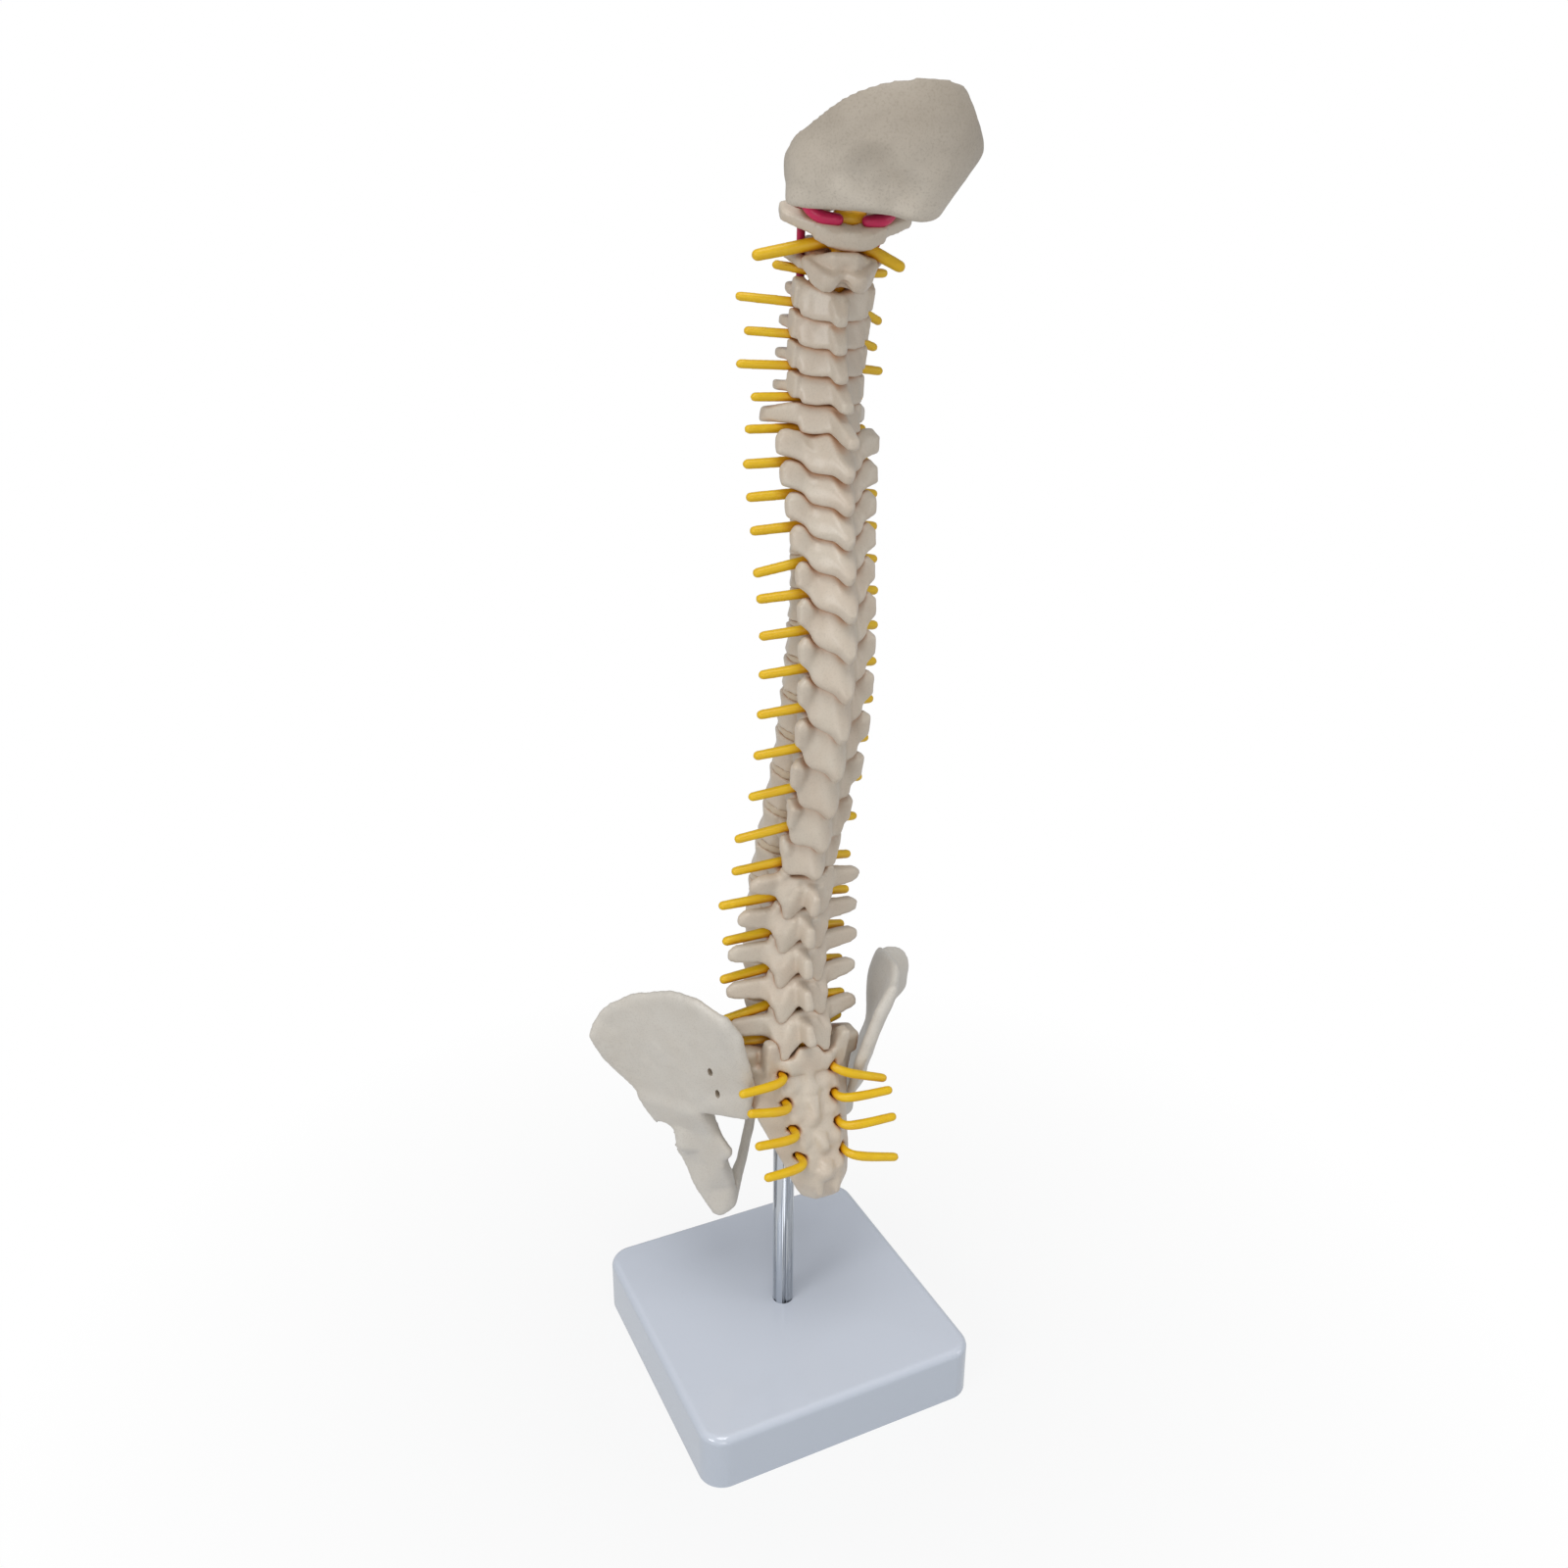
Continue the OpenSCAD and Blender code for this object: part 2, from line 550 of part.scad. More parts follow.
module cord() {
    color("gold") {
        cord_skin();
        for (v = [1:LAST]) at_level(v) nerve_pair(v);
        // Four pairs that leave through the sacrum's holes
        in_pelvis() for (hole = SACRAL_HOLES) both_sides() {
            inner = [hole[0] - 0.4, sacral_canal_y(hole[1]), hole[1]];
            mouth = [hole[0] + 0.7, sacral_back(hole[1]) - 1.4, hole[1] - 0.2];
            peg([0.4, inner[1], inner[2]], inner + [0.6, 0, 0], 1, 1);
            peg(inner + [0, 0.6, 0], mouth, 1.05, nerve_tip_r);
            peg(mouth + [-0.6, 0, 0.1], mouth + [15, -3.6, -3], nerve_tip_r, nerve_tip_r);
        }
    }
}

// Arteries beside the neck, threaded through its side arms and looped behind the atlas's cups
ARTERY_TOP = [[12.5, 0.4, 2.4], [11.6, -5.6, 3.6], [8.6, -8.8, 3.5], [4.4, -9.6, 3.6]];

function artery_spot(v) = v == 1 ? [12.5, 0.4, -1] : v == 2 ? [10, -body_d(2) / 2 + 2.7, -0.8]
    : [canal_r(v) + 3.3, -body_d(v) / 2 + 2.9, v == 7 ? 4 : -1];

module artery(side) {
    color("crimson") {
        for (v = [1:6]) hull() {
            at_level(v) translate(side_of(artery_spot(v), side)) sphere(artery_r, $fn = 5);
            at_level(v + 1) translate(side_of(artery_spot(v + 1), side)) sphere(artery_r, $fn = 5);
        }
        at_level(1) for (i = [0:len(ARTERY_TOP) - 1]) hull() {
            ball(side_of(i == 0 ? artery_spot(1) : ARTERY_TOP[i - 1], side), artery_r);
            ball(side_of(ARTERY_TOP[i], side), artery_r);
        }
    }
}

function side_of(at, side) = [at[0] * side, at[1], at[2]];

// Block stand: a hollow moulding with a boss for the rod, held below by a washer and a nut
ROD_TOP = 133;
ROD_FOOT = 2.5;
BOSS_FOOT = 9;
BOSS_D = 17;
WASHER_H = 1.2;
NUT_H = 5;
RIB = 2;

module edge_profile(w) {
    translate([-w / 2, 0]) square([w, base_h - base_edge]);
    translate([-w / 2 + base_edge, 0]) square([w - base_edge * 2, base_h]);
    for (side = [-1, 1]) translate([side * (w / 2 - base_edge), base_h - base_edge])
        circle(base_edge, $fn = 48);
}

module block() {
    straight = base_w - base_corner * 2;
    rotate([90, 0, 0]) linear_extrude(straight, center = true) edge_profile(base_w);
    rotate([90, 0, 90]) linear_extrude(straight, center = true) edge_profile(base_w);
    for (x = [-1, 1], y = [-1, 1]) translate([x * straight / 2, y * straight / 2, 0])
        rotate_extrude($fn = 96) intersection() {
            edge_profile(base_corner * 2);
            square(base_w);
        }
}

module rounded_square(w, r) {
    square([w, w - r * 2], center = true);
    square([w - r * 2, w], center = true);
    for (x = [-1, 1], y = [-1, 1]) translate([x * (w / 2 - r), y * (w / 2 - r)]) circle(r, $fn = 64);
}

module base() {
    inner = base_w - base_wall * 2;
    color("white") difference() {
        union() {
            difference() {
                block();
                translate([0, 0, -1]) linear_extrude(base_h - base_wall + 1)
                    rounded_square(inner, base_corner - base_wall);
            }
            translate([0, 0, BOSS_FOOT]) cylinder(base_h - BOSS_FOOT - 1, d = BOSS_D, $fn = 64);
            for (a = [0, 90], x = [-1:1]) rotate(a) translate([-inner / 2 - 1, x * inner / 4 - RIB / 2, 8])
                cube([inner + 2, RIB, base_h - 9]);
        }
        translate([0, 0, -1]) cylinder(base_h + 2, d = rod_d + 0.1, $fn = 64);
        // Seat for the washer
        translate([0, 0, -1]) cylinder(BOSS_FOOT + 1, d = BOSS_D, $fn = 64);
    }
}

module rod() {
    color("silver") translate([0, 0, ROD_FOOT]) cylinder(ROD_TOP - ROD_FOOT, d = rod_d, $fn = 64);
}

module rod_washer() {
    color("silver") translate([0, 0, BOSS_FOOT - WASHER_H]) difference() {
        cylinder(WASHER_H, d = rod_d * 2, $fn = 64);
        translate([0, 0, -1]) cylinder(WASHER_H + 2, d = rod_d + 0.1, $fn = 64);
    }
}

module rod_nut() {
    color("silver") translate([0, 0, BOSS_FOOT - WASHER_H - NUT_H]) difference() {
        cylinder(NUT_H, d = rod_d * 1.85, $fn = 6);
        translate([0, 0, -1]) cylinder(NUT_H + 2, d = rod_d + 0.1, $fn = 64);
    }
}

function region(v) = v <= 7 ? "neck" : v <= 19 ? "chest" : "lumbar";
function rank(v) = v <= 7 ? v : v <= 19 ? v - 7 : v - 19;
function bone_name(v) = v == 1 ? "atlas" : v == 2 ? "axis" : str(region(v), "_vertebra_", rank(v));
function disc_name(v) = str("disc_under_", v == 2 ? "axis" : str(region(v), "_", rank(v)));

// Middle of the whole outline on the ground, seen from the rod; the origin is moved there
BOX_MIDDLE = [0.8, -3.9, 0];

module placed() {
    translate(-BOX_MIDDLE) children();
}

placed() base();
placed() rod();
placed() rod_nut();
placed() rod_washer();
placed() sacrum();
placed() hip_left();
placed() hip_right();
placed() skull_plate();
placed() cord();  // cord_with_nerves
placed() artery(-1);  // artery_left
placed() artery(1);  // artery_right
for (v = [1:LAST]) placed() vertebra(v);
for (v = [2:LAST]) placed() disc(v);
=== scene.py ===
# %% [markdown]
# # A spine model on its stand
# This lesson dresses a half-size anatomical spine that was built as solids. The solids give
# every place and size. Here they get the soft moulded edges, the colours and the gloss of the
# real plastic, and the round nerve stubs that plain solids only hint at.

# %% Load the solids
from math import atan, cos, pi, radians

import bmesh
import bpy
import numpy as np
from mathutils import Matrix, Vector


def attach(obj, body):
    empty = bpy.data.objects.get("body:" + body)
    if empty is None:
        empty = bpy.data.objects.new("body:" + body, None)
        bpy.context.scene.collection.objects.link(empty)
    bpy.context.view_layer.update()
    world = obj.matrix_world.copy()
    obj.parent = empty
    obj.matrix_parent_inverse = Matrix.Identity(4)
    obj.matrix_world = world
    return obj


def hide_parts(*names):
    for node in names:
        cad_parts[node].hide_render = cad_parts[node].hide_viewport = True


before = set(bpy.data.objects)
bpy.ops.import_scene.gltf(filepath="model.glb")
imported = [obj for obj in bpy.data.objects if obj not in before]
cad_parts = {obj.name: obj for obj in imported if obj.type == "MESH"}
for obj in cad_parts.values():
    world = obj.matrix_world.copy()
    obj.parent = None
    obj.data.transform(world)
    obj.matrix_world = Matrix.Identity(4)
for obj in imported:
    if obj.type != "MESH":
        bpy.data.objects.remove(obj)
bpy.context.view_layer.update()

# Places and sizes are written in millimetres; the scene itself is in metres
MM = 0.001
# The rod's foot, seen from the middle of the model's outline on the ground
ROD_FOOT = Vector((-0.8, 3.9, 0))

# %% [markdown]
# ## Small helpers for objects
# New objects, modifiers and finished meshes are asked for many times below. Each gets one short
# function here, so that the later steps read like a list of what is done.

# %% Helpers for objects
def new_object(name, data):
    """An object in the scene that shows the given data."""
    made = bpy.data.objects.new(name, data)
    bpy.context.scene.collection.objects.link(made)
    return made


def add_steps(thing, steps):
    """Adds modifiers in turn, each given by its kind and its settings."""
    for number, (kind, settings) in enumerate(steps):
        step = thing.modifiers.new(f"step {number}", kind)
        for key, value in settings.items():
            setattr(step, key, value)


def worked_mesh(thing):
    """A mesh of its own, with the thing's modifiers worked in."""
    graph = bpy.context.evaluated_depsgraph_get()
    return bpy.data.meshes.new_from_object(thing.evaluated_get(graph), depsgraph=graph)


print("object helpers ready")

# %% [markdown]
# ## Camera
# The photograph was taken from behind and to the left, at the height of the neck, looking down.
# The four corners of the block and the rod fix the camera's place, turn and focal length.

# %% Camera
CAMERA_AT = (ROD_FOOT + Vector((-184.3, -380.3, 406.3))) * MM
CAMERA_YAW = radians(25.74)
CAMERA_DOWN = radians(21.40)
CAMERA_ROLL = radians(-0.38)
# The sensor's width in mm, then the focal length and the photograph's width in its pixels
SENSOR = 36
FOCAL_PX = 1370
PHOTO_PX = 1600

lens = bpy.data.cameras.new("camera")
lens.sensor_width = SENSOR
lens.lens = FOCAL_PX / PHOTO_PX * SENSOR
lens.clip_start = 0.01
camera = new_object("camera", lens)
turn_to_view = Matrix.Rotation(-CAMERA_YAW, 4, "Z") @ Matrix.Rotation(pi / 2 - CAMERA_DOWN, 4, "X")
roll = Matrix.Rotation(-CAMERA_ROLL, 4, "Z")
camera.matrix_world = Matrix.Translation(CAMERA_AT) @ turn_to_view @ roll
bpy.context.scene.camera = camera
print("lens", round(lens.lens, 2), "mm")

# %% [markdown]
# ## Writing shader maths as plain expressions
# A wrapped socket lets a line such as `0.4 + 0.1 * grain` add the Math nodes it needs. Colours
# are mixed by their own method, because a Math node would turn them grey.

# %% Helpers for node sheets
class Reading:
    """A number that changes over the surface, ready for plain arithmetic."""

    def __init__(self, sheet, socket):
        self.sheet = sheet
        self.socket = socket

    def _maths(self, operation, first, second):
        return self.sheet.node("ShaderNodeMath", {"operation": operation}, {0: first, 1: second})

    def __add__(self, other):
        return self._maths("ADD", self, other)

    def __radd__(self, other):
        return self._maths("ADD", other, self)

    def __sub__(self, other):
        return self._maths("SUBTRACT", self, other)

    def __rsub__(self, other):
        return self._maths("SUBTRACT", other, self)

    def __mul__(self, other):
        return self._maths("MULTIPLY", self, other)

    def __rmul__(self, other):
        return self._maths("MULTIPLY", other, self)


# Where a Mix node keeps its share and its two colours, and where their mixture comes out
MIX_SHARE = 0
MIX_FIRST = 6
MIX_SECOND = 7
MIX_COLOUR = 2


class Sheet:
    """The node sheet of one finish."""

    def __init__(self, name):
        self.material = bpy.data.materials.new(name)
        self.material.use_nodes = True
        self.nodes = self.material.node_tree.nodes
        self.links = self.material.node_tree.links
        self.nodes.clear()
        place = self.nodes.new("ShaderNodeTexCoord")
        self.place = Reading(self, place.outputs["Object"])

    def node(self, kind, settings, inputs, output=0):
        """Any node: its settings first, then what goes into its sockets."""
        made = self.nodes.new(kind)
        for key, value in settings.items():
            setattr(made, key, value)
        for key, value in inputs.items():
            self.feed(made.inputs[key], value)
        return Reading(self, made.outputs[output])

    def feed(self, socket, value):
        if isinstance(value, Reading):
            self.links.new(value.socket, socket)
        else:
            socket.default_value = value

    def grain(self, size_mm, detail=2.0):
        """Soft random grain whose features are about size_mm across."""
        inputs = {"Vector": self.place, "Scale": 1 / (size_mm * MM), "Detail": detail}
        return self.node("ShaderNodeTexNoise", {}, inputs)

    def spread(self, reading, low, high):
        """The reading stretched so that low becomes 0 and high becomes 1."""
        inputs = {"Value": reading, "From Min": low, "From Max": high}
        return self.node("ShaderNodeMapRange", {"clamp": True}, inputs)

    def blend(self, share, first, second):
        """The first colour where the share is 0, the second where it is 1."""
        inputs = {MIX_SHARE: share, MIX_FIRST: first, MIX_SECOND: second}
        return self.node("ShaderNodeMix", {"data_type": "RGBA"}, inputs, output=MIX_COLOUR)

    def hollows(self, samples, reach_mm, low, high):
        """From 0 on open skin to 1 deep in a hollow, judged within reach_mm."""
        settings = {"samples": samples}
        inputs = {"Distance": reach_mm * MM}
        open_air = self.node("ShaderNodeAmbientOcclusion", settings, inputs, output="AO")
        return self.spread(1 - open_air, low, high)

    def bump(self, height, depth_mm, strength=1.0):
        inputs = {"Height": height, "Distance": depth_mm * MM, "Strength": strength}
        return self.node("ShaderNodeBump", {}, inputs)

    def surfaced(self, reading):
        """Makes the reading the surface and hands over the material."""
        out = self.nodes.new("ShaderNodeOutputMaterial")
        self.links.new(reading.socket, out.inputs["Surface"])
        return self.material

    def finish(self, inputs):
        return self.surfaced(self.node("ShaderNodeBsdfPrincipled", {}, inputs))


def linear(red, green, blue):
    """A colour as read on screen, from 0 to 255, turned into the light it stands for."""
    parts = [c / 255 for c in (red, green, blue)]
    lit = [p / 12.92 if p <= 0.04045 else ((p + 0.055) / 1.055) ** 2.4 for p in parts]
    return (*lit, 1.0)


print("shader helpers ready")


# %% [markdown]
# ## Bone plastic
# The bones are moulded in a warm ivory plastic. Their hollows get painted shade in a warm
# orange-brown, found by ambient occlusion. Two sizes of grain keep the ivory from being one flat
# colour, and a fine bump breaks up the gloss.

# %% Finish of the bones
# Sizes in mm: cloudy patches, dark dots, fine skin, shallow pits
PATCH = 11
DOT = 0.6
SKIN = 0.5
PIT = 2.6
DOT_TINT = linear(120, 108, 90)


def bone_finish(name, ivory, mottle_and_shade_tint, painted_shade_share, speckle, matt=0.0, painted_light_below=None):
    sheet = Sheet(name)
    if painted_light_below:
        # Painted light: the plate is paler towards its lower edge, standing in for light from below; heights
        # in mm
        height = sheet.node("ShaderNodeSeparateXYZ", {}, {0: sheet.place}, output="Z")
        pale, high, low = painted_light_below
        ivory = sheet.blend(sheet.spread(height, high * MM, low * MM), ivory, pale)
    cloud = sheet.spread(sheet.grain(PATCH, 3), 0.35, 0.7)
    dots = sheet.spread(sheet.grain(DOT), 0.5, 0.75)
    hollow = sheet.hollows(8, 3.5, 0.2, 0.9)
    colour = sheet.blend(0.1 * cloud, ivory, mottle_and_shade_tint)
    # Painted shade: the hollows turn towards the warm orange-brown
    colour = sheet.blend(painted_shade_share * hollow, colour, mottle_and_shade_tint)
    colour = sheet.blend(speckle * dots, colour, DOT_TINT)
    skin = sheet.grain(SKIN, 3)
    pits = sheet.grain(PIT)
    return sheet.finish({
        "Base Color": colour,
        "Roughness": 0.3 + matt + 0.16 * skin,
        "Normal": sheet.bump(0.5 * skin + pits, 0.12, 0.6),
        "Coat Weight": 0.15 - 0.4 * matt,
        "Coat Roughness": 0.2,
    })


# The second colour serves random mottle and the painted shade in the hollows
bone = bone_finish("bone ivory", linear(203, 191, 174), linear(190, 124, 62), 0.85, 0.12)
hip_bone = bone_finish("hip ivory", linear(209, 203, 193), linear(172, 150, 120), 0.6, 0.15, 0.1)
# The skull's last setting is painted light: paler towards its lower edge
skull_bone = bone_finish("skull ivory", linear(172, 161, 146), linear(146, 130, 108), 0.5, 0.25, 0.22,
                         (linear(208, 198, 183), 438, 418))
disc_rubber = bone_finish("disc ivory", linear(198, 182, 158), linear(160, 112, 66), 0.8, 0.1)
print("four bone finishes ready")

# %% [markdown]
# ## Nerves and arteries
# The nerves are a soft yellow plastic and the arteries crimson. Where bone stands close, both
# get painted shade: warmer orange on the nerves, darker crimson on the arteries.

# %% Finish of the nerves and arteries
def soft_finish(name, tint, deep):
    sheet = Sheet(name)
    hollow = sheet.hollows(6, 5, 0.1, 0.8)
    cloud = sheet.spread(sheet.grain(6), 0.35, 0.7)
    # Painted shade near bone, with a little random mottle in the same tint
    colour = sheet.blend(0.75 * hollow + 0.15 * cloud, tint, deep)
    skin = sheet.grain(0.6)
    return sheet.finish({
        "Base Color": colour,
        "Roughness": 0.34 + 0.14 * skin,
        "Normal": sheet.bump(skin, 0.06, 0.5),
    })


nerve_yellow = soft_finish("nerve yellow", linear(230, 187, 5), linear(204, 120, 4))
artery_red = soft_finish("artery crimson", linear(205, 22, 84), linear(120, 8, 48))
print("nerve and artery finishes ready")

# %% [markdown]
# ## Steel and the white block
# The rod is bright drawn steel with fine streaks along it, so it mirrors the room. The block is
# a glossy white moulding with a faint waviness; its sides are painted darker than its top, as painted shade.

# %% Finish of the steel and the block
# Grain per metre across the rod and along it
STREAKS = (3000, 3000, 60)


def steel_finish():
    sheet = Sheet("bright steel")
    drawn = sheet.node("ShaderNodeMapping", {}, {"Vector": sheet.place, "Scale": STREAKS})
    streaks = sheet.node("ShaderNodeTexNoise", {}, {"Vector": drawn, "Scale": 1.0, "Detail": 2.0})
    return sheet.finish({
        "Base Color": linear(205, 209, 214),
        "Metallic": 1.0,
        "Roughness": 0.06 + 0.12 * streaks,
        "Normal": sheet.bump(streaks, 0.01, 0.3),
    })


def block_finish():
    sheet = Sheet("white block")
    wave = sheet.grain(14)
    dust = sheet.spread(sheet.grain(1.3, 3), 0.6, 0.8)
    facing = sheet.node("ShaderNodeNewGeometry", {}, {}, output="Normal")
    up = sheet.node("ShaderNodeSeparateXYZ", {}, {0: facing}, output="Z")
    # Painted shade: faces that turn away from the top are painted a darker blue-grey
    colour = sheet.blend(sheet.spread(up, 0.2, 0.9), linear(188, 195, 206), linear(207, 212, 222))
    return sheet.finish({
        "Base Color": sheet.blend(0.06 * dust, colour, linear(160, 163, 168)),
        "Roughness": 0.1 + 0.06 * wave,
        "Normal": sheet.bump(wave, 0.02, 0.3),
        "Coat Weight": 0.4,
        "Coat Roughness": 0.04,
    })


steel = steel_finish()
block_white = block_finish()
print("steel and block finishes ready")

# %% [markdown]
# ## The place of each vertebra
# Whatever is added to a vertebra or runs between two of them needs the same curve that the
# solids were placed on: a wave front to back, a slight bow to one side, and a turn of the neck.

# %% The curve of the column
# Numbers of the vertebrae, counted from the top
ATLAS = 1
AXIS = 2
NECK_END = 7
CHEST_END = 19
LAST = 24
# The curve itself, in mm: height of the lowest vertebra, then the wave, the neck and the bow
LOWEST_Z = 150
SWING = 10.7
FRONT_Z = 180
WAVE = 240
NECK_BEND = 0.0031
NECK_START_Z = 320
SHIFT_START_Z = 165
SHIFT_SPAN = 85
SIDE_SHIFT = 4
NECK_LEAN = 0.04
# Degrees
NECK_TURN = 17
ATLAS_CORD_Y = -5.6


def table(v, *pairs):
    """The value at v between listed pairs."""
    return float(np.interp(v, [p[0] for p in pairs], [p[1] for p in pairs]))


def ease(t):
    """A soft step from 0 to 1, for one number or for many."""
    u = np.clip(t, 0, 1)
    return u * u * (3 - 2 * u)


def region(v):
    return "neck" if v <= NECK_END else "chest" if v <= CHEST_END else "lumbar"


def rank(v):
    return v if v <= NECK_END else v - NECK_END if v <= CHEST_END else v - CHEST_END


def bone_name(v):
    return "atlas" if v == ATLAS else "axis" if v == AXIS else f"{region(v)}_vertebra_{rank(v)}"


def disc_name(v):
    return "disc_under_" + ("axis" if v == AXIS else f"{region(v)}_{rank(v)}")


def spine_point(z):
    above = max(0, z - NECK_START_Z)
    x = SIDE_SHIFT * ease((z - SHIFT_START_Z) / SHIFT_SPAN) + NECK_LEAN * above
    y = SWING * cos(2 * pi * (z - FRONT_Z) / WAVE) - NECK_BEND * above ** 2
    return Vector((x, y, z))


def pitch(v):
    return table(v, (1, 10.6), (2, 8.9), (6, 9.2), (8, 9.4), (12, 10), (14, 11.6), (17, 15), (20, 15),
                 (24, 15.4))


def level_z(v):
    return LOWEST_Z + sum(pitch(k) for k in range(v, LAST))


def level(v):
    """The place and turn of a vertebra's own frame."""
    z = level_z(v)
    slope = (spine_point(z + 2) - spine_point(z - 2)) / 4
    turned = Matrix.Rotation(radians(table(v, (1, -NECK_TURN), (2, -NECK_TURN), (6, 0))), 4, "Z")
    leaned = Matrix.Rotation(atan(slope.x), 4, "Y") @ Matrix.Rotation(-atan(slope.y), 4, "X")
    return Matrix.Translation(ROD_FOOT + spine_point(z)) @ turned @ leaned


def body_d(v):
    return table(v, (2, 7), (3, 8), (7, 9), (8, 10), (12, 16), (16, 19), (24, 18))


def canal_r(v):
    return table(v, (2, 5.2), (7, 5), (9, 4.4), (17, 4.4), (20, 5), (24, 5.6))


def cord_y(v):
    return ATLAS_CORD_Y if v == ATLAS else -body_d(v) / 2 - canal_r(v) * 0.9


print("atlas at", [round(c, 1) for c in spine_point(level_z(ATLAS))], "mm")

# %% [markdown]
# ## Turning blocky solids into moulded bones
# The solids carry each bone's arms, tongues and spines as plain tapered bars. A voxel remesh
# melts the bars into one skin, a smoothing pass rounds every edge the way a mould does, and a
# small outward push gives back what the smoothing took. A gentle cloud texture then moves the
# skin by a fraction of a millimetre, so that no face stays flat.

# %% Moulding a bone from its solid
ripple = bpy.data.textures.new("bone ripple", "CLOUDS")
ripple.noise_scale = 5 * MM
ripple.noise_depth = 2
# Points closer than this are one point
TOUCHING = 0.001 * MM


def baked(rough, name, material):
    """A plain piece from an object with modifiers, which is then removed."""
    mesh = worked_mesh(rough)
    mesh.name = name
    mesh.materials.clear()
    mesh.materials.append(material)
    mesh.shade_smooth()
    piece = new_object(name, mesh)
    bpy.data.objects.remove(rough)
    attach(piece, "root")
    return piece


def box_points(middle, size):
    """The eight corners of a box, given by its middle and its size."""
    half = [s / 2 for s in size]
    return [(middle[0] + x * half[0], middle[1] + y * half[1], middle[2] + z * half[2])
            for x in (-1, 1) for y in (-1, 1) for z in (-1, 1)]


def mirrored(boxes):
    """One set of points a side for the boxes, which are given by middle and size in mm."""
    return [[(p[0] * side, p[1], p[2]) for middle, size in boxes for p in box_points(middle, size)]
            for side in (-1, 1)]


def with_lumps(mesh, lumps):
    """Adds a convex lump round each set of points, in metres."""
    sheet = bmesh.new()
    sheet.from_mesh(mesh)
    for points in lumps:
        corners = [sheet.verts.new(p) for p in points]
        made = bmesh.ops.convex_hull(sheet, input=corners)
        loose = [v for v in made["geom_interior"] if isinstance(v, bmesh.types.BMVert)]
        bmesh.ops.delete(sheet, geom=loose, context="VERTS")
    sheet.to_mesh(mesh)
    sheet.free()


def read_places(piece):
    """The places of a piece's points in metres, one row each."""
    places = np.empty(len(piece.data.vertices) * 3)
    piece.data.vertices.foreach_get("co", places)
    return places.reshape(-1, 3)


def write_places(piece, places):
    piece.data.vertices.foreach_set("co", places.ravel())
    piece.data.update()


def pulled(piece, pulls):
    """Draws the skin along a vector near each place, fading out at the radius; all in mm."""
    places = read_places(piece)
    for centre, radius, vector in pulls:
        away = np.linalg.norm(places - np.array(centre) * MM, axis=1) / (radius * MM)
        share = np.clip(1 - away ** 2, 0, 1) ** 2
        places += share[:, None] * np.array(vector) * MM
    write_places(piece, places)


def eased(piece, rounds):
    """Smooths a finished skin a little more."""
    add_steps(piece, [("SMOOTH", {"factor": 0.5, "iterations": rounds})])
    mesh = worked_mesh(piece)
    piece.modifiers.clear()
    piece.data = mesh


def pierced(piece, places, way, half_size):
    """Cuts small oval holes through a plate; places and half sizes in mm."""
    turned = way.to_track_quat("Z", "Y").to_matrix().to_4x4()
    for place in places:
        bpy.ops.mesh.primitive_uv_sphere_add(segments=20, ring_count=12, radius=MM)
        tool = bpy.context.object
        grown = Matrix.Diagonal((*half_size, 1))
        tool.matrix_world = Matrix.Translation(Vector(place) * MM) @ turned @ grown
        add_steps(piece, [("BOOLEAN", {"operation": "DIFFERENCE", "object": tool, "solver": "EXACT"})])
        mesh = worked_mesh(piece)
        piece.modifiers.clear()
        piece.data = mesh
        bpy.data.objects.remove(tool)


def moulded(node, material, voxel, rounds, swell, waves, lumps=(), early=()):
    """The node's solid as one smooth skin; voxel, swell and waves in mm."""
    rough = new_object("rough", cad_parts[node].data.copy())
    pulled(rough, early)
    with_lumps(rough.data, lumps)
    add_steps(rough, [
        ("WELD", {"merge_threshold": TOUCHING}),
        ("REMESH", {"mode": "VOXEL", "voxel_size": voxel * MM}),
        ("SMOOTH", {"factor": 0.5, "iterations": rounds}),
        ("DISPLACE", {"strength": swell * MM, "mid_level": 0.0}),
        ("DISPLACE", {"strength": waves * MM, "mid_level": 0.5, "texture": ripple,
                      "texture_coords": "GLOBAL"}),
    ])
    piece = baked(rough, node + "_moulded", material)
    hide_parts(node)
    return piece


print("moulding helpers ready")

# %% [markdown]
# ## Extra plastic and bent plates
# A real vertebra has no step between its side arms and its back plate, so each region gets a few
# lumps there before its skin is made. Afterwards the flanks beside the spine are hollowed and
# the plates' edges are bent into an S. The left flanks are hollowed less than the right ones.

# %% Shape of the vertebrae
# For each region: where the flank is hollow, how deep, drop and rise of the plates' edges, and
# what is left of the side arms beyond ARM_KEPT
BEND = {"neck": (5, 0.6, 0.3, 0.3, 0.7), "chest": (6, 2.7, 1.4, 0.9, 1), "lumbar": (6, 0, 0, 0, 1)}
ARM_KEPT = 10.4
LEFT_SHARE = 0.3
# The bend grows over this distance behind the cord
FADE = 5
FLANK_WIDTH = 2.8
# Where the edges rise and drop, as shares of the flank's distance, and over what width
RISE_AT = 0.5
RISE_WIDTH = 1.8
DROP_AT = 1.35
DROP_WIDTH = 2.4


def hill(x, middle, width):
    """A smooth rise to 1 at the middle, gone a few widths away."""
    return np.exp(-((x - middle) / width) ** 2)


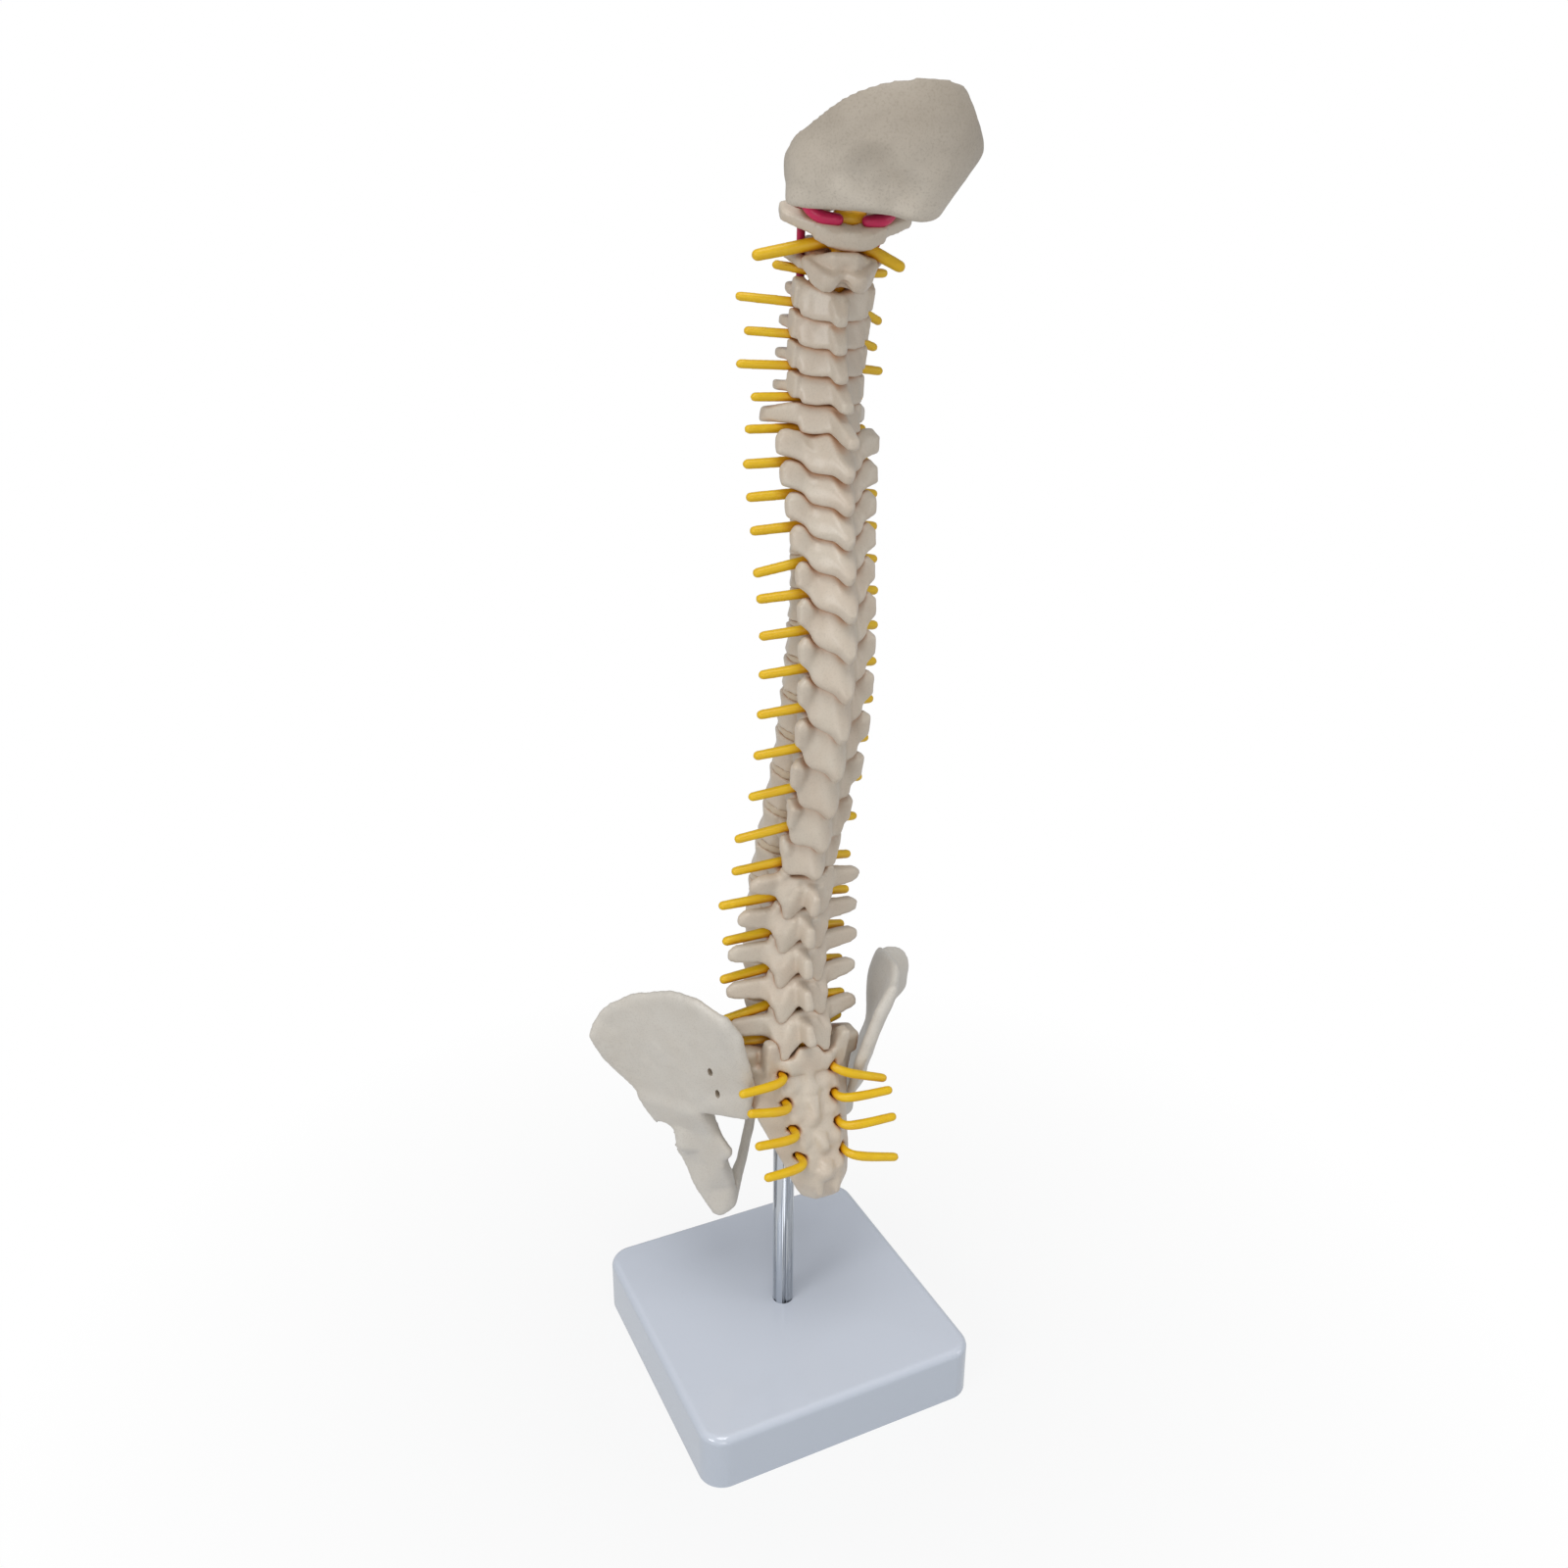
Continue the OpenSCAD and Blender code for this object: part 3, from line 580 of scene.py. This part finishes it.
def drawn_in(piece, v):
    """Hollows the flanks beside the spine and bends the plates' edges into an S.

    Every bone of a region gets the same bend, so tiles that overlapped still overlap.
    """
    flank, depth, drop, rise, narrow = BEND[region(v)]
    at = np.array(level(v))
    local = (read_places(piece) / MM - at[:3, 3]) @ at[:3, :3]
    out = np.abs(local[:, 0])
    behind = ease((cord_y(v) - 1 - local[:, 1]) / FADE)
    depth = np.where(local[:, 0] < 0, depth * LEFT_SHARE, depth)
    raised = rise * hill(out, flank * RISE_AT, RISE_WIDTH)
    dropped = drop * hill(out, flank * DROP_AT, DROP_WIDTH)
    local[:, 1] += depth * hill(out, flank, FLANK_WIDTH) * behind
    local[:, 2] += (raised - dropped) * behind
    if v < NECK_END:
        kept = np.minimum(out, ARM_KEPT) + np.maximum(out - ARM_KEPT, 0) * narrow
        local[:, 0] = np.sign(local[:, 0]) * kept
    write_places(piece, (local @ at[:3, :3].T + at[:3, 3]) * MM)


def plate_lumps(v):
    """Extra plastic between side arm and back plate, as boxes in the vertebra's own frame."""
    r, yc, step = canal_r(v), cord_y(v), pitch(v)
    back = yc - r
    if v == ATLAS:
        # Smooth crescent behind the cord
        return mirrored([((0, -12.4, -2), (3, 2.8, 3.6)), ((4.4, -11.4, -1.3), (2.4, 3, 4.2)),
                         ((8.4, -9, -0.5), (3, 2.8, 4.2))])
    if v == AXIS:
        return mirrored([((1.8, back - 1.4, 4.8), (3.6, 2.2, 3)), ((5.6, yc - 2.6, 2), (3, 2, 3))]) \
            + mirrored([((3, back - 3.2, -0.6), (6, 3, 5)), ((8.6, yc - 1, -0.2), (4, 3, 5))])
    if v < NECK_END:
        # Stout joint pillars beside the plate, open in front for the nerve
        return mirrored([((r + 5, yc + 3.2, 1), (4, 3.4, 5.2)), ((r + 5, yc + 0.4, -0.2), (4, 3, 6))])
    if v == NECK_END:
        # The lowest neck bone ends in two broad paddles
        return mirrored([((15.4, 0.2, -0.2), (3, 2.8, 3.6)), ((9.2, yc + 0.4, 0.8), (3, 3, 5.6))])
    if v < CHEST_END:
        half = table(v, (8, 17.2), (12, 13.4), (17, 13), (18, 11.6))
        arm_y = -table(v, (8, 9.8), (12, 14.4), (16, 16.8), (19, 17.5))
        arm_z = table(v, (8, 1.4), (12, 2), (17, 2.8), (19, 2))
        return mirrored([((half - 1.9, arm_y - 0.8, arm_z - step * 0.08), (3, 2.4, step * 0.5)),
                         ((r + 3.4, yc - 4, -step * 0.26), (3, 2, 2.4)),
                         ((r + 1.4, yc - 3.4, step * 0.2), (3, 2, 2.4))])
    if v == CHEST_END:
        return []
    tongue_x = table(v, (20, 6.2), (24, 8))
    return mirrored([((r + 4.4, yc - 3, 2), (3.4, 2.2, 5)),
                     ((tongue_x + 1, back - 1.8, -3.6), (4.6, 2, 1.6)),
                     ((2, back - 1.6, 3.6), (4, 2, 3.2))]) \
        + mirrored([((r + 5.2, yc - 3.4, 0.8), (4, 2.6, 6)), ((r + 1.4, back + 0.2, 0), (3, 2.4, 7))]) \
        + mirrored([((2.6, back - 3, -1), (5, 2.6, 6.4)), ((tongue_x, back - 2.8, -8), (3.4, 2.4, 2.6))])


print("deepest hollow of a flank:", max(bend[1] for bend in BEND.values()), "mm")

# %% [markdown]
# ## The vertebrae
# Each vertebra is moulded from its own solid. The axis has two short lobes in place of a long
# fork: its tips are drawn in before the skin is made, and a smooth saddle is left between them.

# %% Vertebrae
VERTEBRA_VOXEL = {"neck": 0.47, "chest": 0.51, "lumbar": 0.64}


def lobed(piece, at):
    """Sinks a saddle between the axis's two lobes and rounds its side plates."""
    back = cord_y(AXIS) - canal_r(AXIS)
    saddle = [((0, back - 4.6, -3), 3.8, (0, 1.4, 2.6)), ((0, back - 4.6, 1.6), 3.6, (0, 1.4, 0))]
    for side in (-1, 1):
        saddle += [((side * 3.8, back - 4.2, 0.4), 4.6, (0, -1.5, 0)),
                   ((side * 10, cord_y(AXIS) - 2, -2.6), 4.4, (-0.5 * side, 0.5, 1.8))]
    turned = at.to_3x3()
    pulled(piece, [(at @ Vector(p), r, turned @ Vector(vector)) for p, r, vector in saddle])
    eased(piece, 6)


faces = 0
for v in range(ATLAS, LAST + 1):
    at = level(v)
    lumps = [[at @ Vector(p) * MM for p in points] for points in plate_lumps(v)]
    early = []
    if v == AXIS:
        tips = [at @ Vector((side * 3.8, cord_y(v) - canal_r(v) - 4.8, -4.4)) for side in (-1, 1)]
        early = [(tip, 6, (0, 1.6, 5)) for tip in tips]
    piece = moulded(bone_name(v), bone, voxel=VERTEBRA_VOXEL[region(v)], rounds=13,
                    swell=0.35, waves=0.3, lumps=lumps, early=early)
    if v == AXIS:
        lobed(piece, at)
    elif v > AXIS:
        drawn_in(piece, v)
    faces += len(piece.data.polygons)
print("vertebrae:", faces, "faces")

# %% [markdown]
# ## Sacrum and tail
# The pelvis as a whole is rolled a little about a point on the rod's axis. The tail end stands a
# little to the right, more so the lower it is. Knobs run down the crest of the sacrum.

# %% Sacrum
# In mm, from the rod's foot
PELVIS_PIVOT = Vector((0, 0, 125))
PELVIS_ROLL = radians(3.4)
pelvis = Matrix.Translation(ROD_FOOT + PELVIS_PIVOT) @ Matrix.Rotation(PELVIS_ROLL, 4, "Y")
pelvis = pelvis @ Matrix.Translation(-PELVIS_PIVOT)

TAIL = Vector((0, -30, 88))
TAIL_REACH = 48
TAIL_SHIFT = 4.6


def sacral_back(z):
    return -table(z, (104, 30), (115, 26.5), (127, 22), (138, 17.5))


def tail_shift(z):
    away = (Vector((0, sacral_back(z), z)) - TAIL).length / TAIL_REACH
    return TAIL_SHIFT * max(0, 1 - away ** 2) ** 2


# The crest's upper knob closes the gap under the lowest vertebra
knob = box_points((0, -17.6, 141), (12, 3, 4)) + box_points((0, -16.4, 145.4), (7, 2.2, 2))
shoulders = mirrored([((4, -17.4, 141.2), (8, 3, 4)), ((8.4, -16, 141), (4, 3, 3.6))])
lumps = [[pelvis @ Vector(p) * MM for p in points] for points in [knob, *shoulders]]
sacrum = moulded("sacrum", bone, voxel=0.65, rounds=9, swell=0.35, waves=0.5, lumps=lumps)
pulled(sacrum, [(pelvis @ TAIL, TAIL_REACH, (TAIL_SHIFT, 0, 0))])
# Knobs down the crest, a little to either side in turn, and small ones above the nerve holes
knobs = []
for x, z in ((0.9, 134), (-1.1, 124.5), (1.2, 115), (-0.8, 105.5)):
    knobs.append((pelvis @ Vector((x + tail_shift(z), sacral_back(z) - 1.6, z - 2)), 4.8, (0, -1.7, 0)))
    knobs += [(pelvis @ Vector((6.4 * side + tail_shift(z), sacral_back(z), z - 1)), 3.6, (0, -0.9, 0))
              for side in (-1, 1)]
pulled(sacrum, knobs)
print("sacrum", len(sacrum.data.polygons), "faces")

# %% [markdown]
# ## Hip bones
# Both crests swing out between their corners. The right wing is bent like a spoon: its middle
# lies further in than both ends. Two small vessel holes go through the left wing.

# %% Hip bones
for side, node in ((-1, "hip_left"), (1, "hip_right")):
    hip = moulded(node, hip_bone, voxel=0.7, rounds=16, swell=0.55, waves=0.5)
    crest = pelvis @ Vector((50 * side, 10, 163))
    if side < 0:
        pulls = [(crest, 26, (1.5, 0, -1.2))]
    else:
        front = pelvis @ Vector((63, 28, 142))
        corner = pelvis @ Vector((60, 24, 153))
        middle = pelvis @ Vector((44, 6, 146))
        pulls = [(crest, 26, (-6, 2, 0)), (front, 22, (0.6, -4.5, 0)), (corner, 15, (0.8, -2.5, 3)),
                 (middle, 22, (-3.5, 0, 0))]
    pulls += [(pelvis @ Vector((54.5 * side, 17, 158.5)), 9, (0, 0.3, 1.2)),
              (pelvis @ Vector((62.5 * side, 27.5, 145.5)), 9, (0, 0.8, 0.8)),
              (pelvis @ Vector((45.5 * side, 2, 165.6)), 10, (0, 0, 1.3))]
    pulled(hip, pulls)
    eased(hip, 7)
    print(node, len(hip.data.polygons), "faces")

# Places in mm, and the direction through the wing
HOLES = [(-33.5, -4.3, 140.9), (-30.6, -3.9, 130.9)]
THROUGH = Vector((-0.69, -0.69, -0.23))
pierced(bpy.data.objects["hip_left_moulded"], HOLES, THROUGH, (0.9, 2, 6))
print(len(HOLES), "vessel holes in the left wing")

# %% [markdown]
# ## Skull plate and discs
# The plate's outline is drawn to a straight lower left side, a sloping upper left one and a
# round right lobe. A shallow valley runs from its middle down to the left joint. The discs only
# need their edges rounded.

# %% Skull plate and discs
skull = moulded("skull_plate", skull_bone, voxel=0.75, rounds=4, swell=0.1, waves=0.5)
# Outline
pulled(skull, [
    ((-14, -32, 424), 17, (-4, 0, -1.5)),
    ((-13.5, -31, 418.5), 9, (-3, 0.6, -0.4)),
    ((-14, -36, 443), 15, (0.8, 0, -0.8)),
    ((26, -42, 421), 15, (-4, 1.2, 1.4)),
    ((30, -42, 449), 18, (-6, 1, -3.4)),
    ((34, -38, 435), 14, (-1.6, 0, 0)),
    ((12, -50, 417), 10, (0, 0, -1.8)),
])
# Valley, and the lobe beside it
pulled(skull, [
    ((-5.4, -51.5, 425.3), 9, (1.6, 2.4, 0.8)),
    ((1.3, -52.5, 420.8), 8, (1, 2.4, 1.2)),
    ((-8.2, -44, 421), 7, (-0.8, -0.8, -0.6)),
    ((12, -54, 424), 9, (0, -1, 0)),
])
print("skull plate", len(skull.data.polygons), "faces")
faces = 0
for v in range(AXIS, LAST + 1):
    disc = moulded(disc_name(v), disc_rubber, voxel=0.9, rounds=3, swell=0.1, waves=0.1)
    faces += len(disc.data.polygons)
print("discs:", faces, "faces")

# %% [markdown]
# ## Round tubes
# A curve with a round bevel and its own radius at each point makes a tube of any thickness.
# Every nerve gets a rounded tip that way. All tubes of a piece are then melted into one skin,
# so that each stub grows out of the cord as it does on a moulding.

# %% Tubes from lists of points
def smooth_way(points, radii, steps=5):
    """More points along a rounded way through the given ones."""
    places = [Vector(p) for p in points]
    way = []
    for i in range(len(places) - 1):
        before = places[max(i - 1, 0)]
        after = places[min(i + 2, len(places) - 1)]
        a, b = places[i], places[i + 1]
        for k in range(steps):
            t = k / steps
            bend = (a - before) * (t * (1 - t) ** 2) * 0.5 - (after - b) * (t * t * (1 - t)) * 0.5
            way.append((a.lerp(b, t * t * (3 - 2 * t)) * 0.4 + a.lerp(b, t) * 0.6 + bend,
                        radii[i] + (radii[i + 1] - radii[i]) * t))
    way.append((places[-1], radii[-1]))
    return way


def round_tip(way):
    """The way with a rounded end: shares of the end's radius, further on and thinner."""
    end, r = way[-1]
    forward = (end - way[-2][0]).normalized()
    return way + [(end + forward * r * a, r * b) for a, b in ((0.4, 0.92), (0.75, 0.66), (0.97, 0.24))]


def tubes(name, ways, material, node, voxel):
    """One skin round all ways, each a list of places and radii in mm."""
    curve = bpy.data.curves.new("rough", "CURVE")
    curve.dimensions = "3D"
    curve.bevel_depth = MM
    curve.bevel_resolution = 3
    curve.use_fill_caps = True
    for way in ways:
        spline = curve.splines.new("POLY")
        spline.points.add(len(way) - 1)
        for point, (place, radius) in zip(spline.points, way):
            point.co = (*(place * MM), 1)
            point.radius = radius
    solid = baked(new_object("rough", curve), "rough_" + name, material)
    add_steps(solid, [
        ("REMESH", {"mode": "VOXEL", "voxel_size": voxel * MM}),
        ("SMOOTH", {"factor": 0.5, "iterations": 3}),
        ("DISPLACE", {"strength": 0.08 * MM, "mid_level": 0.0}),
    ])
    piece = baked(solid, name, material)
    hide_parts(node)
    print(name, len(piece.data.polygons), "faces")


print("tube helpers ready")

# %% [markdown]
# ## Cord and nerve stubs
# The cord runs down the canal and ends inside the sacrum. One pair of stubs leaves under each
# vertebra; in the neck they first run forward to pass in front of the joint pillars. Four more
# pairs leave through the holes of the sacrum. As on a real moulding, no two stubs reach and
# hang quite alike.

# %% Cord with its nerves
def cord_r(v):
    return table(v, (1, 3), (7, 2.8), (8, 2.5), (19, 2.5), (24, 2.1))


# What single stubs add to the common reach, and how much lower their tips hang, in mm
LONGER_LEFT = ((1, 6.5), (2, -3), (3, 4.8), (4, 2), (5, 4.8), (6, 1.2), (7, 2.5), (8, 2.6), (10, 1.6),
               (13, 1.2), (17, 2.4), (18, 4.4), (19, 2.6), (20, 4.6), (21, 2), (22, 3), (23, 3.6), (24, 6))
LOWER_LEFT = ((1, 3.4), (2, 0), (10, 0), (11, 2.4), (12, -1), (17, 1), (18, 2.4), (19, 1), (20, 0))
LONGER_RIGHT = ((1, -2), (2, -4.5), (4, -3), (5, 0.5), (6, -5), (8, -4), (9, -1.2), (19, -1.2), (20, 0))
LOWER_RIGHT = ((1, 4.8), (2, 1), (3, 5.6), (4, 3.6), (5, 1.2), (6, 0))


def nerve_way(v, side):
    low = -pitch(v) * (0.3 if v == LAST else 0.4)
    half = table(v, (1, 19.5), (3, 22), (6, 20.5), (8, 22), (13, 20.5), (17, 20), (20, 22.5), (24, 22)) - 1.2
    ahead = table(v, (1, -1.8), (2, 8), (3, 9), (6, 7), (8, 5.5), (12, 6.5), (16, 5), (19, 3), (23, 2),
                  (24, 6))
    sag = table(v, (1, 2.2), (2, 0.6), (7, 0.6), (8, 1.4), (12, 2.6), (17, 4), (23, 3.6), (24, 0.6))
    r = table(v, (1, 1.8), (2, 1.4), (7, 1.45), (8, 1.6), (19, 1.65), (21, 1.8))
    half += table(v, *(LONGER_LEFT if side < 0 else LONGER_RIGHT))
    sag += table(v, *(LOWER_LEFT if side < 0 else LOWER_RIGHT))
    y = cord_y(v)
    root = Vector((0.4, y - (3.4 if v == LAST else 0), low))
    tip = Vector((half, y + ahead, low - sag))
    bent = AXIS <= v <= NECK_END
    knee = Vector((canal_r(v) + 1, y + 3.5, low)) if bent else root.lerp(tip, 0.5)
    points = [root, knee, tip]
    placed = [level(v) @ Vector((p[0] * side, p[1], p[2])) for p in points]
    return round_tip(smooth_way(placed, [r, r, r * 0.92]))


def sacral_y(z):
    return table(z, (95, -27.5), (120, -18.4), (152, -11))


def sacral_way(x, z, side, reach, rise):
    mouth = Vector((x + 0.7, sacral_back(z) - 1.4, z - 0.2))
    points = [(0.4, sacral_y(z), z), (x - 0.4, sacral_y(z), z), mouth,
              mouth + Vector((5, -2.6, rise * 0.3)), mouth + Vector((reach, -3.6, rise))]
    placed = [pelvis @ Vector((p[0] * side + tail_shift(z), p[1], p[2])) for p in points]
    return round_tip(smooth_way(placed, [1, 1, 1.5, 1.7, 1.55]))


cord_points = [level(ATLAS) @ Vector((0, cord_y(ATLAS), 3))]
cord_points += [level(v) @ Vector((0, cord_y(v), 0)) for v in range(ATLAS, LAST + 1)]
cord_points += [pelvis @ Vector(p) for p in ((0, -12.4, 146), (0, -17.1, 124), (0, -22.6, 108.5))]
cord_radii = [3] + [cord_r(v) for v in range(ATLAS, LAST + 1)] + [1.7, 1.4, 1.1]
ways = [smooth_way(cord_points, cord_radii, 3)]
# Above the atlas the cord spreads sideways and fills its ring
across = (-4.4, -2.2, 0, 2.2, 4.4)
ways.append([(level(ATLAS) @ Vector((x, -6.2, 1.6)), 2.9 - 0.1 * abs(x)) for x in across])
ways += [nerve_way(v, side) for v in range(ATLAS, LAST + 1) for side in (-1, 1)]
# How far each sacral stub reaches sideways and rises, left then right
SACRAL = (((9.6, 137.5), (17.2, -0.2), (18, -6)), ((9.4, 128), (16, 3.4), (18.3, 0.6)),
          ((8.6, 118.5), (16.1, 1.6), (18.3, 1)), ((8.2, 108.5), (15.4, 0.4), (17.6, -4)))
for (x, z), left, right in SACRAL:
    ways += [sacral_way(x, z, -1, *left), sacral_way(x, z, 1, *right)]
tubes("cord_with_nerve_stubs", ways, nerve_yellow, "cord_with_nerves", 0.52)

# %% [markdown]
# ## Arteries of the neck
# Two crimson tubes climb through the looped side arms of the neck, pass through the atlas's
# arms, and bend behind its cups towards the skull.

# %% Arteries
ARTERY_R = 1.2


def artery_spot(v):
    """Where an artery passes through a vertebra's arm, in the vertebra's own frame."""
    if v == ATLAS:
        return (12.5, 0.4, -1)
    if v == AXIS:
        return (10, -body_d(v) / 2 + 2.7, -0.8)
    return (canal_r(v) + 3.3, -body_d(v) / 2 + 2.9, 4 if v == NECK_END else -1)


for side, node in ((-1, "artery_left"), (1, "artery_right")):
    spots = []
    for v in range(NECK_END, 0, -1):
        x, y, z = artery_spot(v)
        spots.append(level(v) @ Vector((x * side, y, z)))
    over = ((12.5, 0.4, 2.4), (11.6, -5.6, 3.4), (8.6, -8.8, 3.2), (4.2, -9.8, 3.2))
    spots += [level(ATLAS) @ Vector((p[0] * side, *p[1:])) for p in over]
    way = round_tip(smooth_way(spots, [ARTERY_R] * (len(spots) - 3) + [1.5, 1.85, 1.6]))
    tubes(node + "_tube", [way], artery_red, node, 0.35)

# %% [markdown]
# ## Block, rod, washer and nut
# These are turned or moulded parts with true flats and rounds, so their solids are right as
# they are. A copy with its doubled points welded takes smooth shading between the rounds.

# %% Stand
# Edges sharper than this stay sharp
SHARP = radians(30)


def crisp(node, material):
    copy = new_object(node + "_smooth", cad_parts[node].data.copy())
    add_steps(copy, [("WELD", {"merge_threshold": TOUCHING})])
    piece = baked(copy, node + "_finished", material)
    piece.data.set_sharp_from_angle(angle=SHARP)
    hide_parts(node)
    print(node, len(piece.data.polygons), "faces")


crisp("base", block_white)
for node in ("rod", "rod_nut", "rod_washer"):
    crisp(node, steel)

# %% [markdown]
# ## Floor
# A pale floor stands in for the cut-out background. The camera sees mostly an even glow there,
# with a trace of the model's shadow, and away from the stand only the glow.

# %% Floor
def floor_finish():
    sheet = Sheet("pale floor")
    seen = sheet.node("ShaderNodeLightPath", {}, {}, output="Is Camera Ray")
    glossy = sheet.node("ShaderNodeLightPath", {}, {}, output="Is Glossy Ray")
    speck = sheet.grain(30)
    pale = sheet.blend(0.05 * speck, (0.6, 0.6, 0.6, 1), (0.57, 0.57, 0.57, 1))
    matt = sheet.node("ShaderNodeBsdfDiffuse", {}, {"Color": pale})
    glow = sheet.node("ShaderNodeEmission", {}, {"Color": (1, 1, 1, 1), "Strength": 1.0})
    # Distances from the stand in metres
    reach = sheet.node("ShaderNodeVectorMath", {"operation": "LENGTH"}, {0: sheet.place}, output=1)
    far = sheet.spread(reach, 0.08, 0.3)
    share = seen * (0.88 + 0.12 * far) + 0.5 * glossy
    return sheet.surfaced(sheet.node("ShaderNodeMixShader", {}, {0: share, 1: matt, 2: glow}))


# Half a side of the floor in metres
FLOOR_HALF = 4.0
mesh = bpy.data.meshes.new("floor")
corners = [(x * FLOOR_HALF, y * FLOOR_HALF, 0) for x, y in ((-1, -1), (1, -1), (1, 1), (-1, 1))]
mesh.from_pydata(corners, [], [(0, 1, 2, 3)])
mesh.materials.append(floor_finish())
floor = new_object("floor", mesh)
print("floor", 2 * FLOOR_HALF, "m a side")

# %% [markdown]
# ## Light
# The camera sees a white surround behind the model, which lights it at less than half of that
# strength.
# A large ceiling lamp and one from the left give the long highlight on the rod and the quiet
# shading of the bones. Two weak lamps, on the right and low behind the camera, lift the shadows.

# %% Light
ROOM_TINT = (0.93, 0.96, 1.0, 1)
ROOM_STRENGTH = 0.45
WHITE = (1, 1, 1, 1)
world = bpy.data.worlds.new("white room")
bpy.context.scene.world = world
world.use_nodes = True
tree = world.node_tree
tree.nodes.clear()


def background(colour, strength):
    made = tree.nodes.new("ShaderNodeBackground")
    made.inputs["Color"].default_value = colour
    made.inputs["Strength"].default_value = strength
    return made.outputs[0]


ray = tree.nodes.new("ShaderNodeLightPath")
choose = tree.nodes.new("ShaderNodeMixShader")
out = tree.nodes.new("ShaderNodeOutputWorld")
tree.links.new(ray.outputs["Is Camera Ray"], choose.inputs[0])
tree.links.new(background(ROOM_TINT, ROOM_STRENGTH), choose.inputs[1])
tree.links.new(background(WHITE, 1.0), choose.inputs[2])
tree.links.new(choose.outputs[0], out.inputs["Surface"])


def lamp(name, at, towards, size, power):
    """A round soft lamp; places and size in metres, power in watts."""
    light = bpy.data.lights.new(name, "AREA")
    light.shape = "DISK"
    light.size = size
    light.energy = power
    made = new_object(name, light)
    made.location = at
    made.rotation_euler = (Vector(towards) - Vector(at)).to_track_quat("-Z", "Y").to_euler()
    print(name, power, "W")


MIDDLE = (0, 0, 0.25)
lamp("ceiling lamp", (-0.35, -0.9, 2.8), MIDDLE, 1.6, 29)
lamp("window lamp", (-1.8, -0.7, 1.0), MIDDLE, 1.0, 12)
lamp("fill lamp", (1.2, -0.9, 0.6), MIDDLE, 0.8, 2.4)
lamp("low lamp", (-0.5, -1.4, 0.3), (0, 0, 0.32), 0.8, 2.6)

# %% [markdown]
# ## Colour
# The Standard view shows the colours as they were chosen.

# %% Colour
bpy.context.scene.view_settings.view_transform = "Standard"
